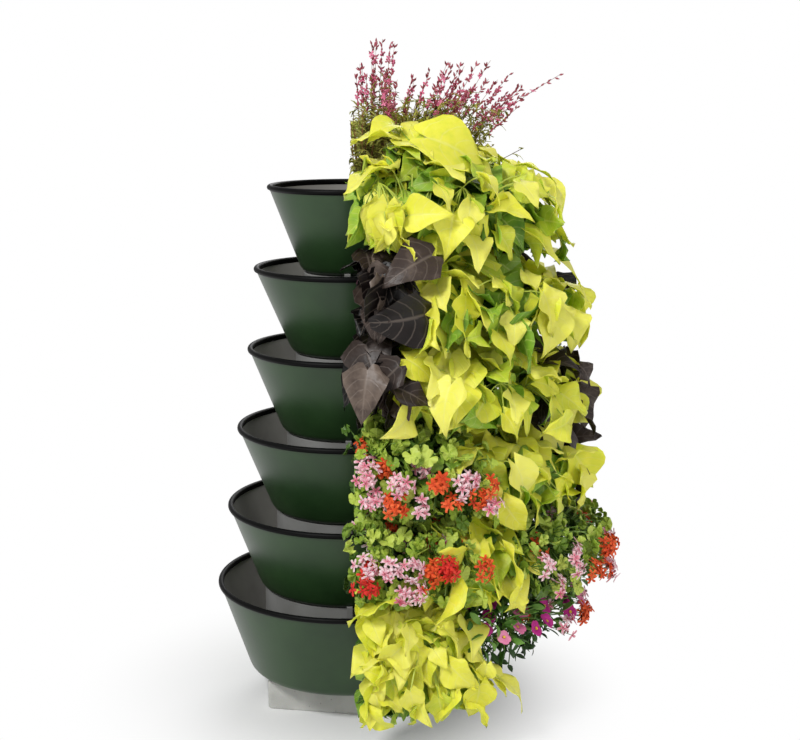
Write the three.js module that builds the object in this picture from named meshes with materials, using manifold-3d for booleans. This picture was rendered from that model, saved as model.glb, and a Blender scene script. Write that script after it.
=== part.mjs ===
// Vertical planter tower: six stacked round pots on a square plinth, bare on the left half
// and planted on the right half. Millimetres, +Z up. The origin is the centre of the
// plinth's underside. Tier 1 is the bottom pot.

import * as THREE from "three";
import { mergeVertices } from "three/addons/utils/BufferGeometryUtils.js";
import Module from "manifold-3d";

const wasm = await Module();
wasm.setup();

// Plinth
const PLINTH_SIDE = 248;
const PLINTH_HEIGHT = 52;
const PLINTH_CORNER = 9;
const PLINTH_CHAMFER = 3;
const PLINTH_TURN_DEG = -11.6;

// Pots, bottom pot first; the shares are of the bottom rim's radius and of each pot's height
const BOTTOM_RIM_RADIUS = 230;
const RIM_SHARES = [1, 0.913, 0.83, 0.741, 0.683, 0.574];
const LEAN_SHARES = [0.343, 0.38, 0.405, 0.4, 0.43, 0.385];
const BOTTOM_POT_HEIGHT = 158;
const POT_HEIGHT = 146;
const TIER_PITCH = 140;
const WALL = 3;
const FLOOR_CORNER = 14;
const DRAIN_HOLE_RADIUS = 4.5;
const DRAIN_HOLE_INSET = 1.5;

// Edge trim on each rim
const TRIM_WIDTH = 9.6;
const TRIM_GROOVE_DEPTH = 5;

// Risers
const RISER_INSET = 5;
const RISER_WALL = 3;
const RISER_FLANGE = 15;
const FOOT_NOTCH_WIDTH = 24;
const FOOT_NOTCH_HEIGHT = 12;
const LUG_WIDTH = 10;
const LUG_THICKNESS = 5;
const LUG_CLEARANCE = 1.2;
const LUG_RISE = 6;
const LUG_DROP = 34;
const LUG_FOOT = 12;

// Hold-down bolt
const BOLT_RADIUS = 4;
const BOLT_HEAD_RADIUS = 8;
const BOLT_HEAD_HEIGHT = 6;
const BOLT_WASHER_RADIUS = 14;
const BOLT_WASHER_THICKNESS = 2;
const BOLT_LENGTH = 36;
const BOLT_CLEARANCE = 0.5;

// Potting mix
const SOIL_DROP = 22;
const SOIL_CLEARANCE = 0.5;
const SOIL_FACE_X = 14;
const SOIL_BANK_DEG = 30;

// Planting
const FOLIAGE_REACH = 300;
const FOLIAGE_RISE = 95;
const FOLIAGE_FALL_SHARE = 0.45;
const LEAF_LENGTH = 122;
const LEAF_WIDTH = 104;
const LEAF_THICKNESS = 5;
const STEM_RADIUS = 3;
const STEM_ARCH = 38;
const CROWN_RADIUS = 22;
const CROWN_HEIGHT = 20;
const CLUMP_RADIUS = 46;
const CLUMP_HEIGHT = 44;
const TOP_FOLIAGE_RISE = 130;
const TOP_FOLIAGE_FALL_SHARE = 0.5;
const SPIKE_HEIGHT = 236;
const SPIKE_RADIUS = 7;
const CANOPY_THICKNESS = 6;
const CANOPY_DROP = 14;
const CANOPY_INSET = 14;
const CANOPY_SHOULDER = 34;
const CANOPY_PLEAT = 5;
const CANOPY_HEM_TUCK = 14;
const CANOPY_HEM_CLEARANCE = 14;
const CANOPY_HEM_NOTCH = 30;
const CANOPY_COLUMN_DEG = 9;
const GROUND_CLEARANCE = 60;
const SECTOR_GAP_DEG = 2;

// Fits and facets
const SEAT_GAP = 0.3;
const OVERRUN = 20;
const WELD_DISTANCE = 0.001;
const RING_SIDES = 24;
const STEM_STEPS = 3;
const HOLE_SIDES = 6;
const CROWN_SIDES = 6;
const CORNER_STEPS = 2;

const degrees = THREE.MathUtils.degToRad;
const tower = new THREE.Group();

// Materials
const finishes = {
  pot: { color: 0x2d4a2b, roughness: 0.42, metalness: 0 },
  trim: { color: 0x0a0a0a, roughness: 0.35, metalness: 0 },
  riser: { color: 0x8a8a88, roughness: 0.6, metalness: 0 },
  plinth: { color: 0x969693, roughness: 0.85, metalness: 0 },
  bolt: { color: 0xb8b8b4, roughness: 0.35, metalness: 1 },
  soil: { color: 0x3a2a1e, roughness: 1, metalness: 0 },
  lime_vine: { color: 0xc9d93c, roughness: 0.55, metalness: 0 },
  purple_vine: { color: 0x5a4550, roughness: 0.5, metalness: 0 },
  geranium: { color: 0x86a844, roughness: 0.7, metalness: 0 },
  calibrachoa: { color: 0xc43a8c, roughness: 0.7, metalness: 0 },
  pink_spikes: { color: 0xa8596b, roughness: 0.8, metalness: 0 },
};

function addPiece(name, solid, finish) {
  const mesh = solid.getMesh();
  const geometry = new THREE.BufferGeometry();
  geometry.setAttribute("position", new THREE.BufferAttribute(mesh.vertProperties, 3));
  geometry.setIndex(new THREE.BufferAttribute(mesh.triVerts, 1));
  geometry.computeVertexNormals();
  const material = new THREE.MeshStandardMaterial({ ...finishes[finish], flatShading: true });
  const piece = new THREE.Mesh(geometry, material);
  piece.name = name;
  tower.add(piece);
  return piece;
}

// A closed three.js geometry as a solid whose faces point out
function solidOf(geometry) {
  geometry.deleteAttribute("normal");
  geometry.deleteAttribute("uv");
  const welded = mergeVertices(geometry, WELD_DISTANCE);
  const { array } = welded.attributes.position;
  const corner = (i) => new THREE.Vector3().fromArray(array, 3 * i);
  const triangles = [];
  let volume = 0;
  for (let t = 0; t < welded.index.count; t += 3) {
    const [a, b, c] = [0, 1, 2].map((k) => welded.index.getX(t + k));
    if (a === b || b === c || c === a) continue;
    triangles.push([a, b, c]);
    volume += corner(a).dot(corner(b).cross(corner(c)));
  }
  const facing = volume > 0 ? triangles : triangles.map(([a, b, c]) => [a, c, b]);
  return new wasm.Manifold(
    new wasm.Mesh({
      numProp: 3,
      vertProperties: new Float32Array(array),
      triVerts: new Uint32Array(facing.flat()),
    }),
  );
}

// A profile of [radius, height] points turned about Z
function turned(profile, sides = RING_SIDES) {
  const points = profile.map(([radius, height]) => new THREE.Vector2(radius, height));
  return solidOf(new THREE.LatheGeometry(points, sides).rotateX(Math.PI / 2));
}

function closedRing(profile, sides = RING_SIDES) {
  return turned([...profile, profile[0]], sides);
}

// An outline in the radius and height plane, extruded to a width and turned to an azimuth
function radialPlate(outline, width, azimuthDeg) {
  const shape = new THREE.Shape(outline.map(([radius, height]) => new THREE.Vector2(radius, height)));
  const plate = new THREE.ExtrudeGeometry(shape, { depth: width, bevelEnabled: false });
  plate.translate(0, 0, -width / 2).rotateX(Math.PI / 2).rotateZ(degrees(azimuthDeg));
  return solidOf(plate);
}

// The triangles that close a ring, wound as the ring is
function ringFace(ring) {
  const flat = ring.map(({ x, y, z }) => new THREE.Vector2(Math.hypot(x, y), z));
  const winding = (...corners) => Math.sign(THREE.ShapeUtils.area(corners));
  return THREE.ShapeUtils.triangulateShape(flat, []).map(([a, b, c]) =>
    winding(flat[a], flat[b], flat[c]) === winding(...flat) ? [a, b, c] : [a, c, b]);
}

// Rings of points, each joined to the next, and closed flat at both ends
function loft(rings) {
  const count = rings[0].length;
  const faces = [];
  for (let ring = 0; ring + 1 < rings.length; ring += 1) {
    for (let i = 0; i < count; i += 1) {
      const a = ring * count + i;
      const b = ring * count + ((i + 1) % count);
      faces.push([a, b, b + count], [a, b + count, a + count]);
    }
  }
  const last = (rings.length - 1) * count;
  for (const [a, b, c] of ringFace(rings[0])) faces.push([a, c, b]);
  for (const corners of ringFace(rings.at(-1))) faces.push(corners.map((corner) => last + corner));
  const geometry = new THREE.BufferGeometry().setFromPoints(rings.flat());
  geometry.setIndex(faces.flat());
  return solidOf(geometry);
}

function postAt(radius, azimuthDeg, postRadius, low, high, sides = HOLE_SIDES) {
  const post = new THREE.CylinderGeometry(postRadius, postRadius, high - low, sides);
  post.rotateX(Math.PI / 2).translate(radius, 0, (low + high) / 2).rotateZ(degrees(azimuthDeg));
  return solidOf(post);
}

function around(count, firstDeg = 0) {
  return Array.from({ length: count }, (_, i) => firstDeg + (360 / count) * i);
}

// Every tier's own sizes
const tiers = RIM_SHARES.map((rimShare, i) => {
  const height = i === 0 ? BOTTOM_POT_HEIGHT : POT_HEIGHT;
  const rimZ = PLINTH_HEIGHT + SEAT_GAP + BOTTOM_POT_HEIGHT + i * TIER_PITCH;
  const rimRadius = BOTTOM_RIM_RADIUS * rimShare;
  const lean = LEAN_SHARES[i];
  const wallAcross = WALL * Math.hypot(1, lean);
  const floorRadius = rimRadius + wallAcross / 2 - lean * height;
  const baseZ = rimZ - height;
  const floorZ = baseZ + WALL;
  const outerAt = (z) => floorRadius + lean * (z - baseZ);
  const innerAt = (z) => outerAt(z) - wallAcross;
  return { number: i + 1, rimZ, rimRadius, floorRadius, lean, baseZ, floorZ, outerAt, innerAt };
});
for (const [i, tier] of tiers.entries()) {
  tier.above = tiers[i + 1];
  tier.riserRadius = tier.above ? tier.above.floorRadius - RISER_INSET : 0;
}
const bottom = tiers[0];

// Plinth: a square block with rounded corners and a chamfered top and foot
function plinthSolid() {
  const half = PLINTH_SIDE / 2 - PLINTH_CHAMFER;
  const flat = half - PLINTH_CORNER;
  const square = new THREE.Shape();
  for (const quarterDeg of around(4)) {
    const turn = degrees(quarterDeg);
    const centre = new THREE.Vector2(flat, flat).rotateAround(new THREE.Vector2(), turn);
    square.absarc(centre.x, centre.y, PLINTH_CORNER, turn, turn + Math.PI / 2);
  }
  const block = new THREE.ExtrudeGeometry(square, {
    depth: PLINTH_HEIGHT - 2 * PLINTH_CHAMFER,
    bevelThickness: PLINTH_CHAMFER,
    bevelSize: PLINTH_CHAMFER,
    bevelSegments: 1,
    curveSegments: CORNER_STEPS,
  });
  block.translate(0, 0, PLINTH_CHAMFER).rotateZ(degrees(PLINTH_TURN_DEG));
  const boltHoleFoot = bottom.floorZ + SEAT_GAP + BOLT_WASHER_THICKNESS - BOLT_LENGTH - BOLT_CLEARANCE;
  const boltHole = postAt(0, 0, BOLT_RADIUS + BOLT_CLEARANCE, boltHoleFoot, PLINTH_HEIGHT + OVERRUN);
  return solidOf(block).subtract(boltHole);
}

// Pot: a thin leaning wall, a rounded foot and a flat floor with drain holes
function potSolid(tier) {
  const { baseZ, floorZ, rimZ, floorRadius } = tier;
  const flatRadius = floorRadius - FLOOR_CORNER;
  const cornerTop = baseZ + FLOOR_CORNER;
  const rounded = (...corners) => {
    const curve = new THREE.QuadraticBezierCurve(...corners.map(([r, z]) => new THREE.Vector2(r, z)));
    return curve.getPoints(CORNER_STEPS).map(({ x, y }) => [x, y]);
  };
  const foot = [[flatRadius, baseZ], [floorRadius, baseZ], [tier.outerAt(cornerTop), cornerTop]];
  const inside = [[tier.innerAt(cornerTop), cornerTop], [tier.innerAt(floorZ), floorZ], [flatRadius, floorZ]];
  const edgeZ = rimZ - SEAT_GAP;
  const shell = turned([
    [0, baseZ],
    ...rounded(...foot),
    [tier.outerAt(edgeZ), edgeZ],
    [tier.innerAt(edgeZ), edgeZ],
    ...rounded(...inside),
    [0, floorZ],
  ]);
  const drainRadius = tier.above
    ? tier.riserRadius + DRAIN_HOLE_INSET + DRAIN_HOLE_RADIUS
    : flatRadius - RISER_FLANGE - DRAIN_HOLE_RADIUS;
  const cuts = around(3, -30).map((azimuth) =>
    postAt(drainRadius, azimuth, DRAIN_HOLE_RADIUS, baseZ - OVERRUN, floorZ + OVERRUN));
  if (tier === bottom) {
    cuts.push(postAt(0, 0, BOLT_RADIUS + BOLT_CLEARANCE, baseZ - OVERRUN, floorZ + OVERRUN));
  }
  return cuts.reduce((solid, cut) => solid.subtract(cut), shell);
}

// Edge trim: a bead with a groove that grips the top of the wall
function trimSolid(tier) {
  const { rimZ, rimRadius } = tier;
  const half = TRIM_WIDTH / 2;
  const lipZ = rimZ - TRIM_GROOVE_DEPTH;
  const crownZ = rimZ + half;
  return closedRing([
    [tier.outerAt(lipZ) + SEAT_GAP, lipZ],
    [rimRadius + half, rimZ],
    [rimRadius, crownZ],
    [rimRadius - half, rimZ - half / 2],
    [tier.innerAt(lipZ) - SEAT_GAP, lipZ],
    [tier.innerAt(rimZ) - SEAT_GAP, rimZ],
    [tier.outerAt(rimZ) + SEAT_GAP, rimZ],
  ]);
}

// Riser: a round collar with a seat flange, drain notches in its foot and three lugs
// that stand beside the foot of the pot above
const lugAzimuths = around(3, -90);

function riserLug(tier) {
  const topZ = tier.above.baseZ - SEAT_GAP;
  const innerFace = tier.above.floorRadius + LUG_CLEARANCE;
  const root = tier.riserRadius - RISER_WALL / 2;
  const outerFace = innerFace + LUG_THICKNESS;
  return [
    [root, topZ - LUG_DROP - LUG_FOOT],
    [outerFace, topZ - LUG_DROP],
    [outerFace, topZ + LUG_RISE],
    [innerFace, topZ + LUG_RISE],
    [innerFace, topZ],
    [root, topZ],
  ];
}

function riserSolid(tier) {
  const footZ = tier.floorZ + SEAT_GAP;
  const topZ = tier.above.baseZ - SEAT_GAP;
  const outer = tier.riserRadius;
  const bore = outer - RISER_WALL;
  const collar = closedRing([
    [outer, footZ],
    [outer, topZ],
    [outer - RISER_FLANGE, topZ],
    [outer - RISER_FLANGE, topZ - RISER_WALL],
    [bore, topZ - RISER_WALL],
    [bore, footZ],
  ]);
  const lugs = lugAzimuths.map((azimuth) => radialPlate(riserLug(tier), LUG_WIDTH, azimuth));
  const notched = around(3, -30).map((azimuth) => {
    const notch = new THREE.BoxGeometry(2 * OVERRUN, FOOT_NOTCH_WIDTH, FOOT_NOTCH_HEIGHT + OVERRUN);
    notch.translate(outer, 0, footZ + (FOOT_NOTCH_HEIGHT - OVERRUN) / 2).rotateZ(degrees(azimuth));
    return solidOf(notch);
  });
  const withLugs = lugs.reduce((solid, lug) => solid.add(lug), collar);
  return notched.reduce((solid, notch) => solid.subtract(notch), withLugs);
}

// Hold-down bolt: a hexagon head on a washer, inside the bottom riser
function boltSolid() {
  const washerZ = bottom.floorZ + SEAT_GAP;
  const headZ = washerZ + BOLT_WASHER_THICKNESS;
  const shank = postAt(0, 0, BOLT_RADIUS, headZ - BOLT_LENGTH, headZ);
  const washer = postAt(0, 0, BOLT_WASHER_RADIUS, washerZ, headZ, RING_SIDES / 2);
  const head = postAt(0, 0, BOLT_HEAD_RADIUS, headZ - BOLT_WASHER_THICKNESS / 2, headZ + BOLT_HEAD_HEIGHT);
  return shank.add(washer).add(head);
}

// Potting mix: fills the pot between riser and wall on the planted half, banked off at its ends
function soilTop(tier) {
  return tier.rimZ - SOIL_DROP;
}

// Room for the pot above, where it hangs lower than the top of the mix
function potAboveSpace({ above }) {
  const footZ = above.baseZ - SOIL_CLEARANCE;
  return turned([
    [0, footZ],
    [above.floorRadius + SOIL_CLEARANCE, footZ],
    [above.outerAt(above.rimZ) + SOIL_CLEARANCE, above.rimZ],
    [0, above.rimZ],
  ]);
}

function soilSolid(tier) {
  const lowZ = tier.floorZ + SOIL_CLEARANCE;
  const topZ = soilTop(tier);
  const cornerTop = tier.baseZ + FLOOR_CORNER;
  const wallSide = [
    [tier.floorRadius - FLOOR_CORNER - SOIL_CLEARANCE, lowZ],
    [tier.innerAt(cornerTop) - SOIL_CLEARANCE - WALL / 2, cornerTop],
    [tier.innerAt(topZ) - SOIL_CLEARANCE, topZ],
  ];
  const riserSide = tier.riserRadius + SOIL_CLEARANCE;
  const full = tier.above
    ? closedRing([[riserSide, lowZ], ...wallSide, [riserSide, topZ]])
    : turned([[0, lowZ], ...wallSide, [0, topZ]]);
  const span = 2 * (BOTTOM_RIM_RADIUS + OVERRUN);
  const bareHalf = new THREE.BoxGeometry(span, span, span);
  bareHalf.translate(-span / 2, 0, 0).rotateY(degrees(-SOIL_BANK_DEG)).translate(SOIL_FACE_X, 0, topZ);
  const banked = full.subtract(solidOf(bareHalf));
  if (!tier.above) return banked;
  const lugSpaces = lugAzimuths.map((azimuth) => {
    const outline = riserLug(tier);
    const [root, low] = outline[0];
    const outer = outline[1][0] + SOIL_CLEARANCE;
    const box = [[root, low], [outer, low], [outer, topZ + OVERRUN], [root, topZ + OVERRUN]];
    return radialPlate(box, LUG_WIDTH + 2 * SOIL_CLEARANCE, azimuth);
  });
  return [...lugSpaces, potAboveSpace(tier)].reduce((solid, space) => solid.subtract(space), banked);
}

// Planting. Each plant has a crown on the potting mix and runners that arch over the rim and
// carry its canopy, from which leaves or clumps of blossom stand out.
const TOP_CROWN_SHARE = 0.6;
const CROWN_TOP_SHARE = 0.7;
const FLANK_SHARE = 0.6;

function polar(azimuthDeg, radius, z) {
  const azimuth = degrees(azimuthDeg);
  return new THREE.Vector3(radius * Math.cos(azimuth), radius * Math.sin(azimuth), z);
}

// The falling surface that a tier's planting stays under, so that the tier above lifts clear.
// Nothing stands over the top tier, so its planting grows higher.
function canopyZ(tier, radius) {
  const past = radius - tier.rimRadius;
  if (!tier.above) return tier.rimZ + TOP_FOLIAGE_RISE - TOP_FOLIAGE_FALL_SHARE * past;
  return tier.rimZ + FOLIAGE_RISE - FOLIAGE_FALL_SHARE * past;
}

// How far each tier's planting reaches past its rim, bottom tier first, from the front round
// the right side to the back in even steps, as shares of the longest reach
const REACH_SHARES = [
  [0.42, 0.5, 0.58, 0.66, 0.62, 0.52, 0.46],
  [0.42, 0.52, 0.72, 0.88, 0.88, 0.7, 0.55],
  [0.42, 0.55, 0.74, 0.82, 0.8, 0.7, 0.57],
  [0.4, 0.54, 0.76, 0.85, 0.8, 0.68, 0.54],
  [0.4, 0.56, 0.8, 0.9, 0.84, 0.7, 0.56],
  [0.42, 0.55, 0.76, 0.84, 0.78, 0.66, 0.5],
];

function reachAt(tier, azimuthDeg) {
  const shares = REACH_SHARES[tier.number - 1];
  const steps = shares.length - 1;
  const along = Math.min(steps, Math.max(0, ((azimuthDeg + 90) / 180) * steps));
  const step = Math.min(steps - 1, Math.floor(along));
  return FOLIAGE_REACH * THREE.MathUtils.lerp(shares[step], shares[step + 1], along - step);
}

function crownPlace(tier, azimuthDeg) {
  const outer = tier.innerAt(soilTop(tier));
  const middle = tier.above
    ? (tier.above.outerAt(soilTop(tier) + CROWN_HEIGHT) + outer) / 2
    : outer * TOP_CROWN_SHARE;
  return polar(azimuthDeg, middle, soilTop(tier) + SEAT_GAP);
}

function crownSolid(place) {
  const topRadius = CROWN_RADIUS * CROWN_TOP_SHARE;
  const profile = [[0, 0], [CROWN_RADIUS, 0], [topRadius, CROWN_HEIGHT], [0, CROWN_HEIGHT]];
  return turned(profile, CROWN_SIDES).translate(place.toArray());
}

// A ball of radius one, to be drawn out to a size
function unitBall(sides, bands) {
  return new THREE.SphereGeometry(1, sides, bands);
}

function stemSolid(points) {
  const section = new THREE.Shape(around(3).map((turn) =>
    new THREE.Vector2(STEM_RADIUS, 0).rotateAround(new THREE.Vector2(), degrees(turn))));
  const path = new THREE.CatmullRomCurve3(points);
  const options = { steps: STEM_STEPS, extrudePath: path, bevelEnabled: false };
  return solidOf(new THREE.ExtrudeGeometry(section, options));
}

// A heart-shaped leaf, folded along its midrib, with its stalk end at the origin and its tip
// along +Y: a four-sided sphere drawn out to the leaf's outline
const HEART_BROAD_SHARE = 1.25;
const HEART_TAPER_SHARE = 0.9;
const HEART_LOBE_SHARE = 0.4;
const LEAF_FOLD_SHARE = 0.3;
const LEAF_DROOP_SHARE = 0.16;
const STALK_SHARE = 0.16;

function leafGeometry(length, width) {
  const leaf = unitBall(4, 4);
  const { position } = leaf.attributes;
  for (let i = 0; i < position.count; i += 1) {
    const side = position.getX(i);
    const along = (1 - position.getY(i)) / 2;
    const across = side * (width / 2) * (HEART_BROAD_SHARE - HEART_TAPER_SHARE * along);
    const lobe = HEART_LOBE_SHARE * Math.abs(side) * (1 - along) ** 2;
    const lift = LEAF_FOLD_SHARE * Math.abs(across) - LEAF_DROOP_SHARE * length * along ** 2;
    position.setXYZ(i, across, length * (along - lobe), lift + position.getZ(i) * (LEAF_THICKNESS / 2));
  }
  return leaf;
}

// A frame whose +Y points outwards and down by dip, turned sideways by yaw
function outwardFrame(base, azimuthDeg, dipDeg, yawDeg) {
  const out = polar(azimuthDeg + yawDeg, 1, 0);
  const up = new THREE.Vector3(0, 0, 1);
  const dip = degrees(dipDeg);
  const along = out.clone().multiplyScalar(Math.cos(dip)).addScaledVector(up, -Math.sin(dip));
  const normal = out.clone().multiplyScalar(Math.sin(dip)).addScaledVector(up, Math.cos(dip));
  const across = along.clone().cross(normal);
  return new THREE.Matrix4().makeBasis(across, along, normal).setPosition(base);
}

// Canopy: a plant's leaves close up into a curtain. It runs out from the rim just under its
// tier's falling surface, rounds a shoulder and hangs, and its hem is cut into leaf tips.
function canopyLine(tier, azimuth, pleat = 0) {
  const below = tiers[tier.number - 2];
  const inner = tier.rimRadius + 2 * TRIM_WIDTH;
  const outer = tier.rimRadius + reachAt(tier, azimuth) - CANOPY_INSET - pleat;
  const shoulder = outer - CANOPY_SHOULDER;
  const hem = outer - CANOPY_HEM_TUCK;
  const topZ = (radius) => canopyZ(tier, radius) - CANOPY_DROP;
  const hemZ = below ? canopyZ(below, hem) + CANOPY_HEM_CLEARANCE : GROUND_CLEARANCE;
  return { inner, outer, shoulder, hem, topZ, hemZ, edgeZ: topZ(outer) - CANOPY_SHOULDER };
}

function canopySolid(tier, sector) {
  const half = (sector.spreadDeg - SECTOR_GAP_DEG) / 2;
  const columns = 2 * Math.round(half / CANOPY_COLUMN_DEG);
  const thick = CANOPY_THICKNESS;
  const rings = [];
  for (let i = 0; i <= columns; i += 1) {
    const azimuth = sector.azimuthDeg + half * ((2 * i) / columns - 1);
    const notched = i % 2;
    const line = canopyLine(tier, azimuth, notched * CANOPY_PLEAT);
    const { inner, outer, shoulder, hem, topZ, edgeZ } = line;
    const hemZ = line.hemZ + notched * CANOPY_HEM_NOTCH;
    const section = [
      [inner, topZ(inner)], [shoulder, topZ(shoulder)], [outer, edgeZ], [hem, hemZ],
      [hem - thick, hemZ], [outer - thick, edgeZ],
      [shoulder - thick / 2, topZ(shoulder) - thick], [inner, topZ(inner) - thick],
    ];
    rings.push(section.map(([radius, z]) => polar(azimuth, radius, z)));
  }
  return loft(rings);
}

// A runner leaves the crown's flank, arches over the rim and meets the canopy's inner edge
const RUNNER_SIDE_SHARES = [-0.6, 0.5];

function runnerSolid(tier, crown, sector, sideShare) {
  const azimuth = sector.azimuthDeg + (sideShare * sector.spreadDeg) / 2;
  const flank = sideShare * CROWN_RADIUS * FLANK_SHARE;
  const across = polar(sector.azimuthDeg + 90, flank, 0);
  const start = crown.clone().add(across).setZ(crown.z + CROWN_HEIGHT / 2);
  const over = polar(azimuth, tier.rimRadius - TRIM_WIDTH, tier.rimZ + STEM_ARCH);
  const { inner, topZ } = canopyLine(tier, azimuth);
  const reached = inner + CANOPY_THICKNESS;
  const end = polar(azimuth, reached, topZ(reached) - CANOPY_THICKNESS / 2);
  return stemSolid([start, over, end]);
}

// Where leaves and clumps stand out from the canopy: from its inner edge at 0 to its shoulder
// at 1 and down its curtain to 2, with shares of the half sector and of the full size
const STANDOUTS = [
  { placeShare: 0.25, sideShare: -0.45, sizeShare: 0.9, dipDeg: 16, yawDeg: -14 },
  { placeShare: 0.5, sideShare: 0.55, sizeShare: 0.95, dipDeg: 34, yawDeg: 10 },
  { placeShare: 1.05, sideShare: 0.05, sizeShare: 0.78, dipDeg: 66, yawDeg: -6 },
  { placeShare: 1.05, sideShare: 0.95, sizeShare: 0.74, dipDeg: 70, yawDeg: 8 },
];
const LOW_STANDOUTS = [
  { placeShare: 1.5, sideShare: -0.75, sizeShare: 0.72, dipDeg: 68, yawDeg: -8 },
  { placeShare: 1.55, sideShare: 0.15, sizeShare: 0.76, dipDeg: 70, yawDeg: 6 },
];

function standoutsOf(tier) {
  return tier === bottom ? [...STANDOUTS, ...LOW_STANDOUTS] : STANDOUTS;
}

// The azimuth of a standout, kept far enough inside its sector for its own width
function standoutAzimuth(sector, sideShare, radius, halfWidth) {
  const half = THREE.MathUtils.radToDeg(Math.asin(Math.min(1, halfWidth / radius)));
  const room = Math.max(0, (sector.spreadDeg - SECTOR_GAP_DEG) / 2 - half);
  return sector.azimuthDeg + sideShare * room;
}

function canopyPlace(tier, sector, placeShare, sideShare, halfWidth) {
  const middle = canopyLine(tier, sector.azimuthDeg);
  const azimuth = standoutAzimuth(sector, sideShare, middle.shoulder, halfWidth);
  const { inner, outer, shoulder, hem, topZ, edgeZ, hemZ } = canopyLine(tier, azimuth);
  if (placeShare > 1) {
    const radius = THREE.MathUtils.lerp(outer, hem, placeShare - 1) - CANOPY_THICKNESS / 2;
    return { azimuth, radius, z: THREE.MathUtils.lerp(edgeZ, hemZ, placeShare - 1) };
  }
  const radius = THREE.MathUtils.lerp(inner, shoulder, placeShare);
  return { azimuth, radius, z: topZ(radius) - CANOPY_THICKNESS / 2 };
}

function vineSolid(tier, sector) {
  const crown = crownPlace(tier, sector.azimuthDeg);
  let plant = crownSolid(crown).add(canopySolid(tier, sector));
  for (const sideShare of RUNNER_SIDE_SHARES) plant = plant.add(runnerSolid(tier, crown, sector, sideShare));
  for (const { placeShare, sideShare, sizeShare, dipDeg, yawDeg } of standoutsOf(tier)) {
    const length = LEAF_LENGTH * sizeShare;
    const width = LEAF_WIDTH * sizeShare;
    const { azimuth, radius, z } = canopyPlace(tier, sector, placeShare, sideShare, width / 2);
    const frame = outwardFrame(polar(azimuth, radius, z), azimuth, dipDeg, yawDeg);
    const leaf = leafGeometry(length, width).translate(0, -STALK_SHARE * length, 0);
    plant = plant.add(solidOf(leaf.applyMatrix4(frame)));
  }
  return plant;
}

// A bushy plant: rounded clumps of leaf and blossom stand out from its canopy
function bushSolid(tier, sector) {
  const crown = crownPlace(tier, sector.azimuthDeg);
  let plant = crownSolid(crown).add(canopySolid(tier, sector));
  for (const sideShare of RUNNER_SIDE_SHARES) plant = plant.add(runnerSolid(tier, crown, sector, sideShare));
  for (const { placeShare, sideShare, sizeShare } of standoutsOf(tier)) {
    const size = CLUMP_RADIUS * sizeShare;
    const { azimuth, radius, z } = canopyPlace(tier, sector, placeShare, sideShare, size);
    const centre = polar(azimuth, radius - size / 2, z - CLUMP_HEIGHT / 4);
    const clump = unitBall(6, 3).rotateX(Math.PI / 2);
    clump.scale(size, size, CLUMP_HEIGHT / 2).rotateZ(degrees(azimuth)).translate(...centre.toArray());
    plant = plant.add(solidOf(clump));
  }
  return plant;
}

// An upright plant: a bushy foot and thin flowering spikes that fan out
const SPIKES = [
  { leanDeg: 4, turnDeg: 145, heightShare: 1 },
  { leanDeg: 20, turnDeg: 25, heightShare: 0.86 },
  { leanDeg: 26, turnDeg: -21, heightShare: 0.95 },
  { leanDeg: 46, turnDeg: -35, heightShare: 0.9 },
  { leanDeg: 56, turnDeg: -42, heightShare: 0.86 },
];
// Its bushy foot: a lobe over the pot and a flat one out over the canopy. Shares are of the
// rim's radius for where and how wide, and of the top foliage's rise for how high.
const SPIKE_LOBES = [
  { azimuthDeg: 45, outShare: 0.4, wideShare: 0.44, fromShare: 0.34, highShare: 0.76 },
  { azimuthDeg: 20, outShare: 1.1, wideShare: 0.62, fromShare: 0.9, highShare: 0.3 },
];
const SPIKE_MIDDLE_SHARE = 0.84;
const BLOOM_SHARE = 0.2;

function spikeSolid(tier, sector) {
  const crown = crownPlace(tier, sector.azimuthDeg);
  const reach = reachAt(tier, sector.azimuthDeg);
  let plant = crownSolid(crown);
  for (const { azimuthDeg, outShare, wideShare, fromShare, highShare } of SPIKE_LOBES) {
    const wide = tier.rimRadius * wideShare;
    const tall = (TOP_FOLIAGE_RISE * highShare) / 2;
    const low = tier.rimZ + TOP_FOLIAGE_RISE * fromShare;
    const lobe = unitBall(8, 5).rotateX(Math.PI / 2).scale(wide, wide, tall);
    lobe.translate(...polar(azimuthDeg, tier.rimRadius * outShare, low + tall).toArray());
    plant = plant.add(solidOf(lobe));
  }
  for (const { leanDeg, turnDeg, heightShare } of SPIKES) {
    const height = SPIKE_HEIGHT * heightShare;
    const lean = reach * (height / SPIKE_HEIGHT) * Math.tan(degrees(leanDeg));
    const tip = crown.clone().add(polar(sector.azimuthDeg + turnDeg, lean, height));
    const start = crown.clone().setZ(crown.z + CROWN_HEIGHT / 2);
    const middle = start.clone().lerp(tip, 0.5).setZ(crown.z + height * SPIKE_MIDDLE_SHARE);
    const bloom = unitBall(4, 4).scale(SPIKE_RADIUS, height * BLOOM_SHARE, SPIKE_RADIUS);
    const along = tip.clone().sub(middle).normalize();
    bloom.applyQuaternion(new THREE.Quaternion().setFromUnitVectors(new THREE.Vector3(0, 1, 0), along));
    bloom.translate(...middle.clone().lerp(tip, 1 - BLOOM_SHARE).toArray());
    plant = plant.add(stemSolid([start, middle, tip])).add(solidOf(bloom));
  }
  return plant;
}

const growers = {
  lime_vine: vineSolid,
  purple_vine: vineSolid,
  geranium: bushSolid,
  calibrachoa: bushSolid,
  pink_spikes: spikeSolid,
};

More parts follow.
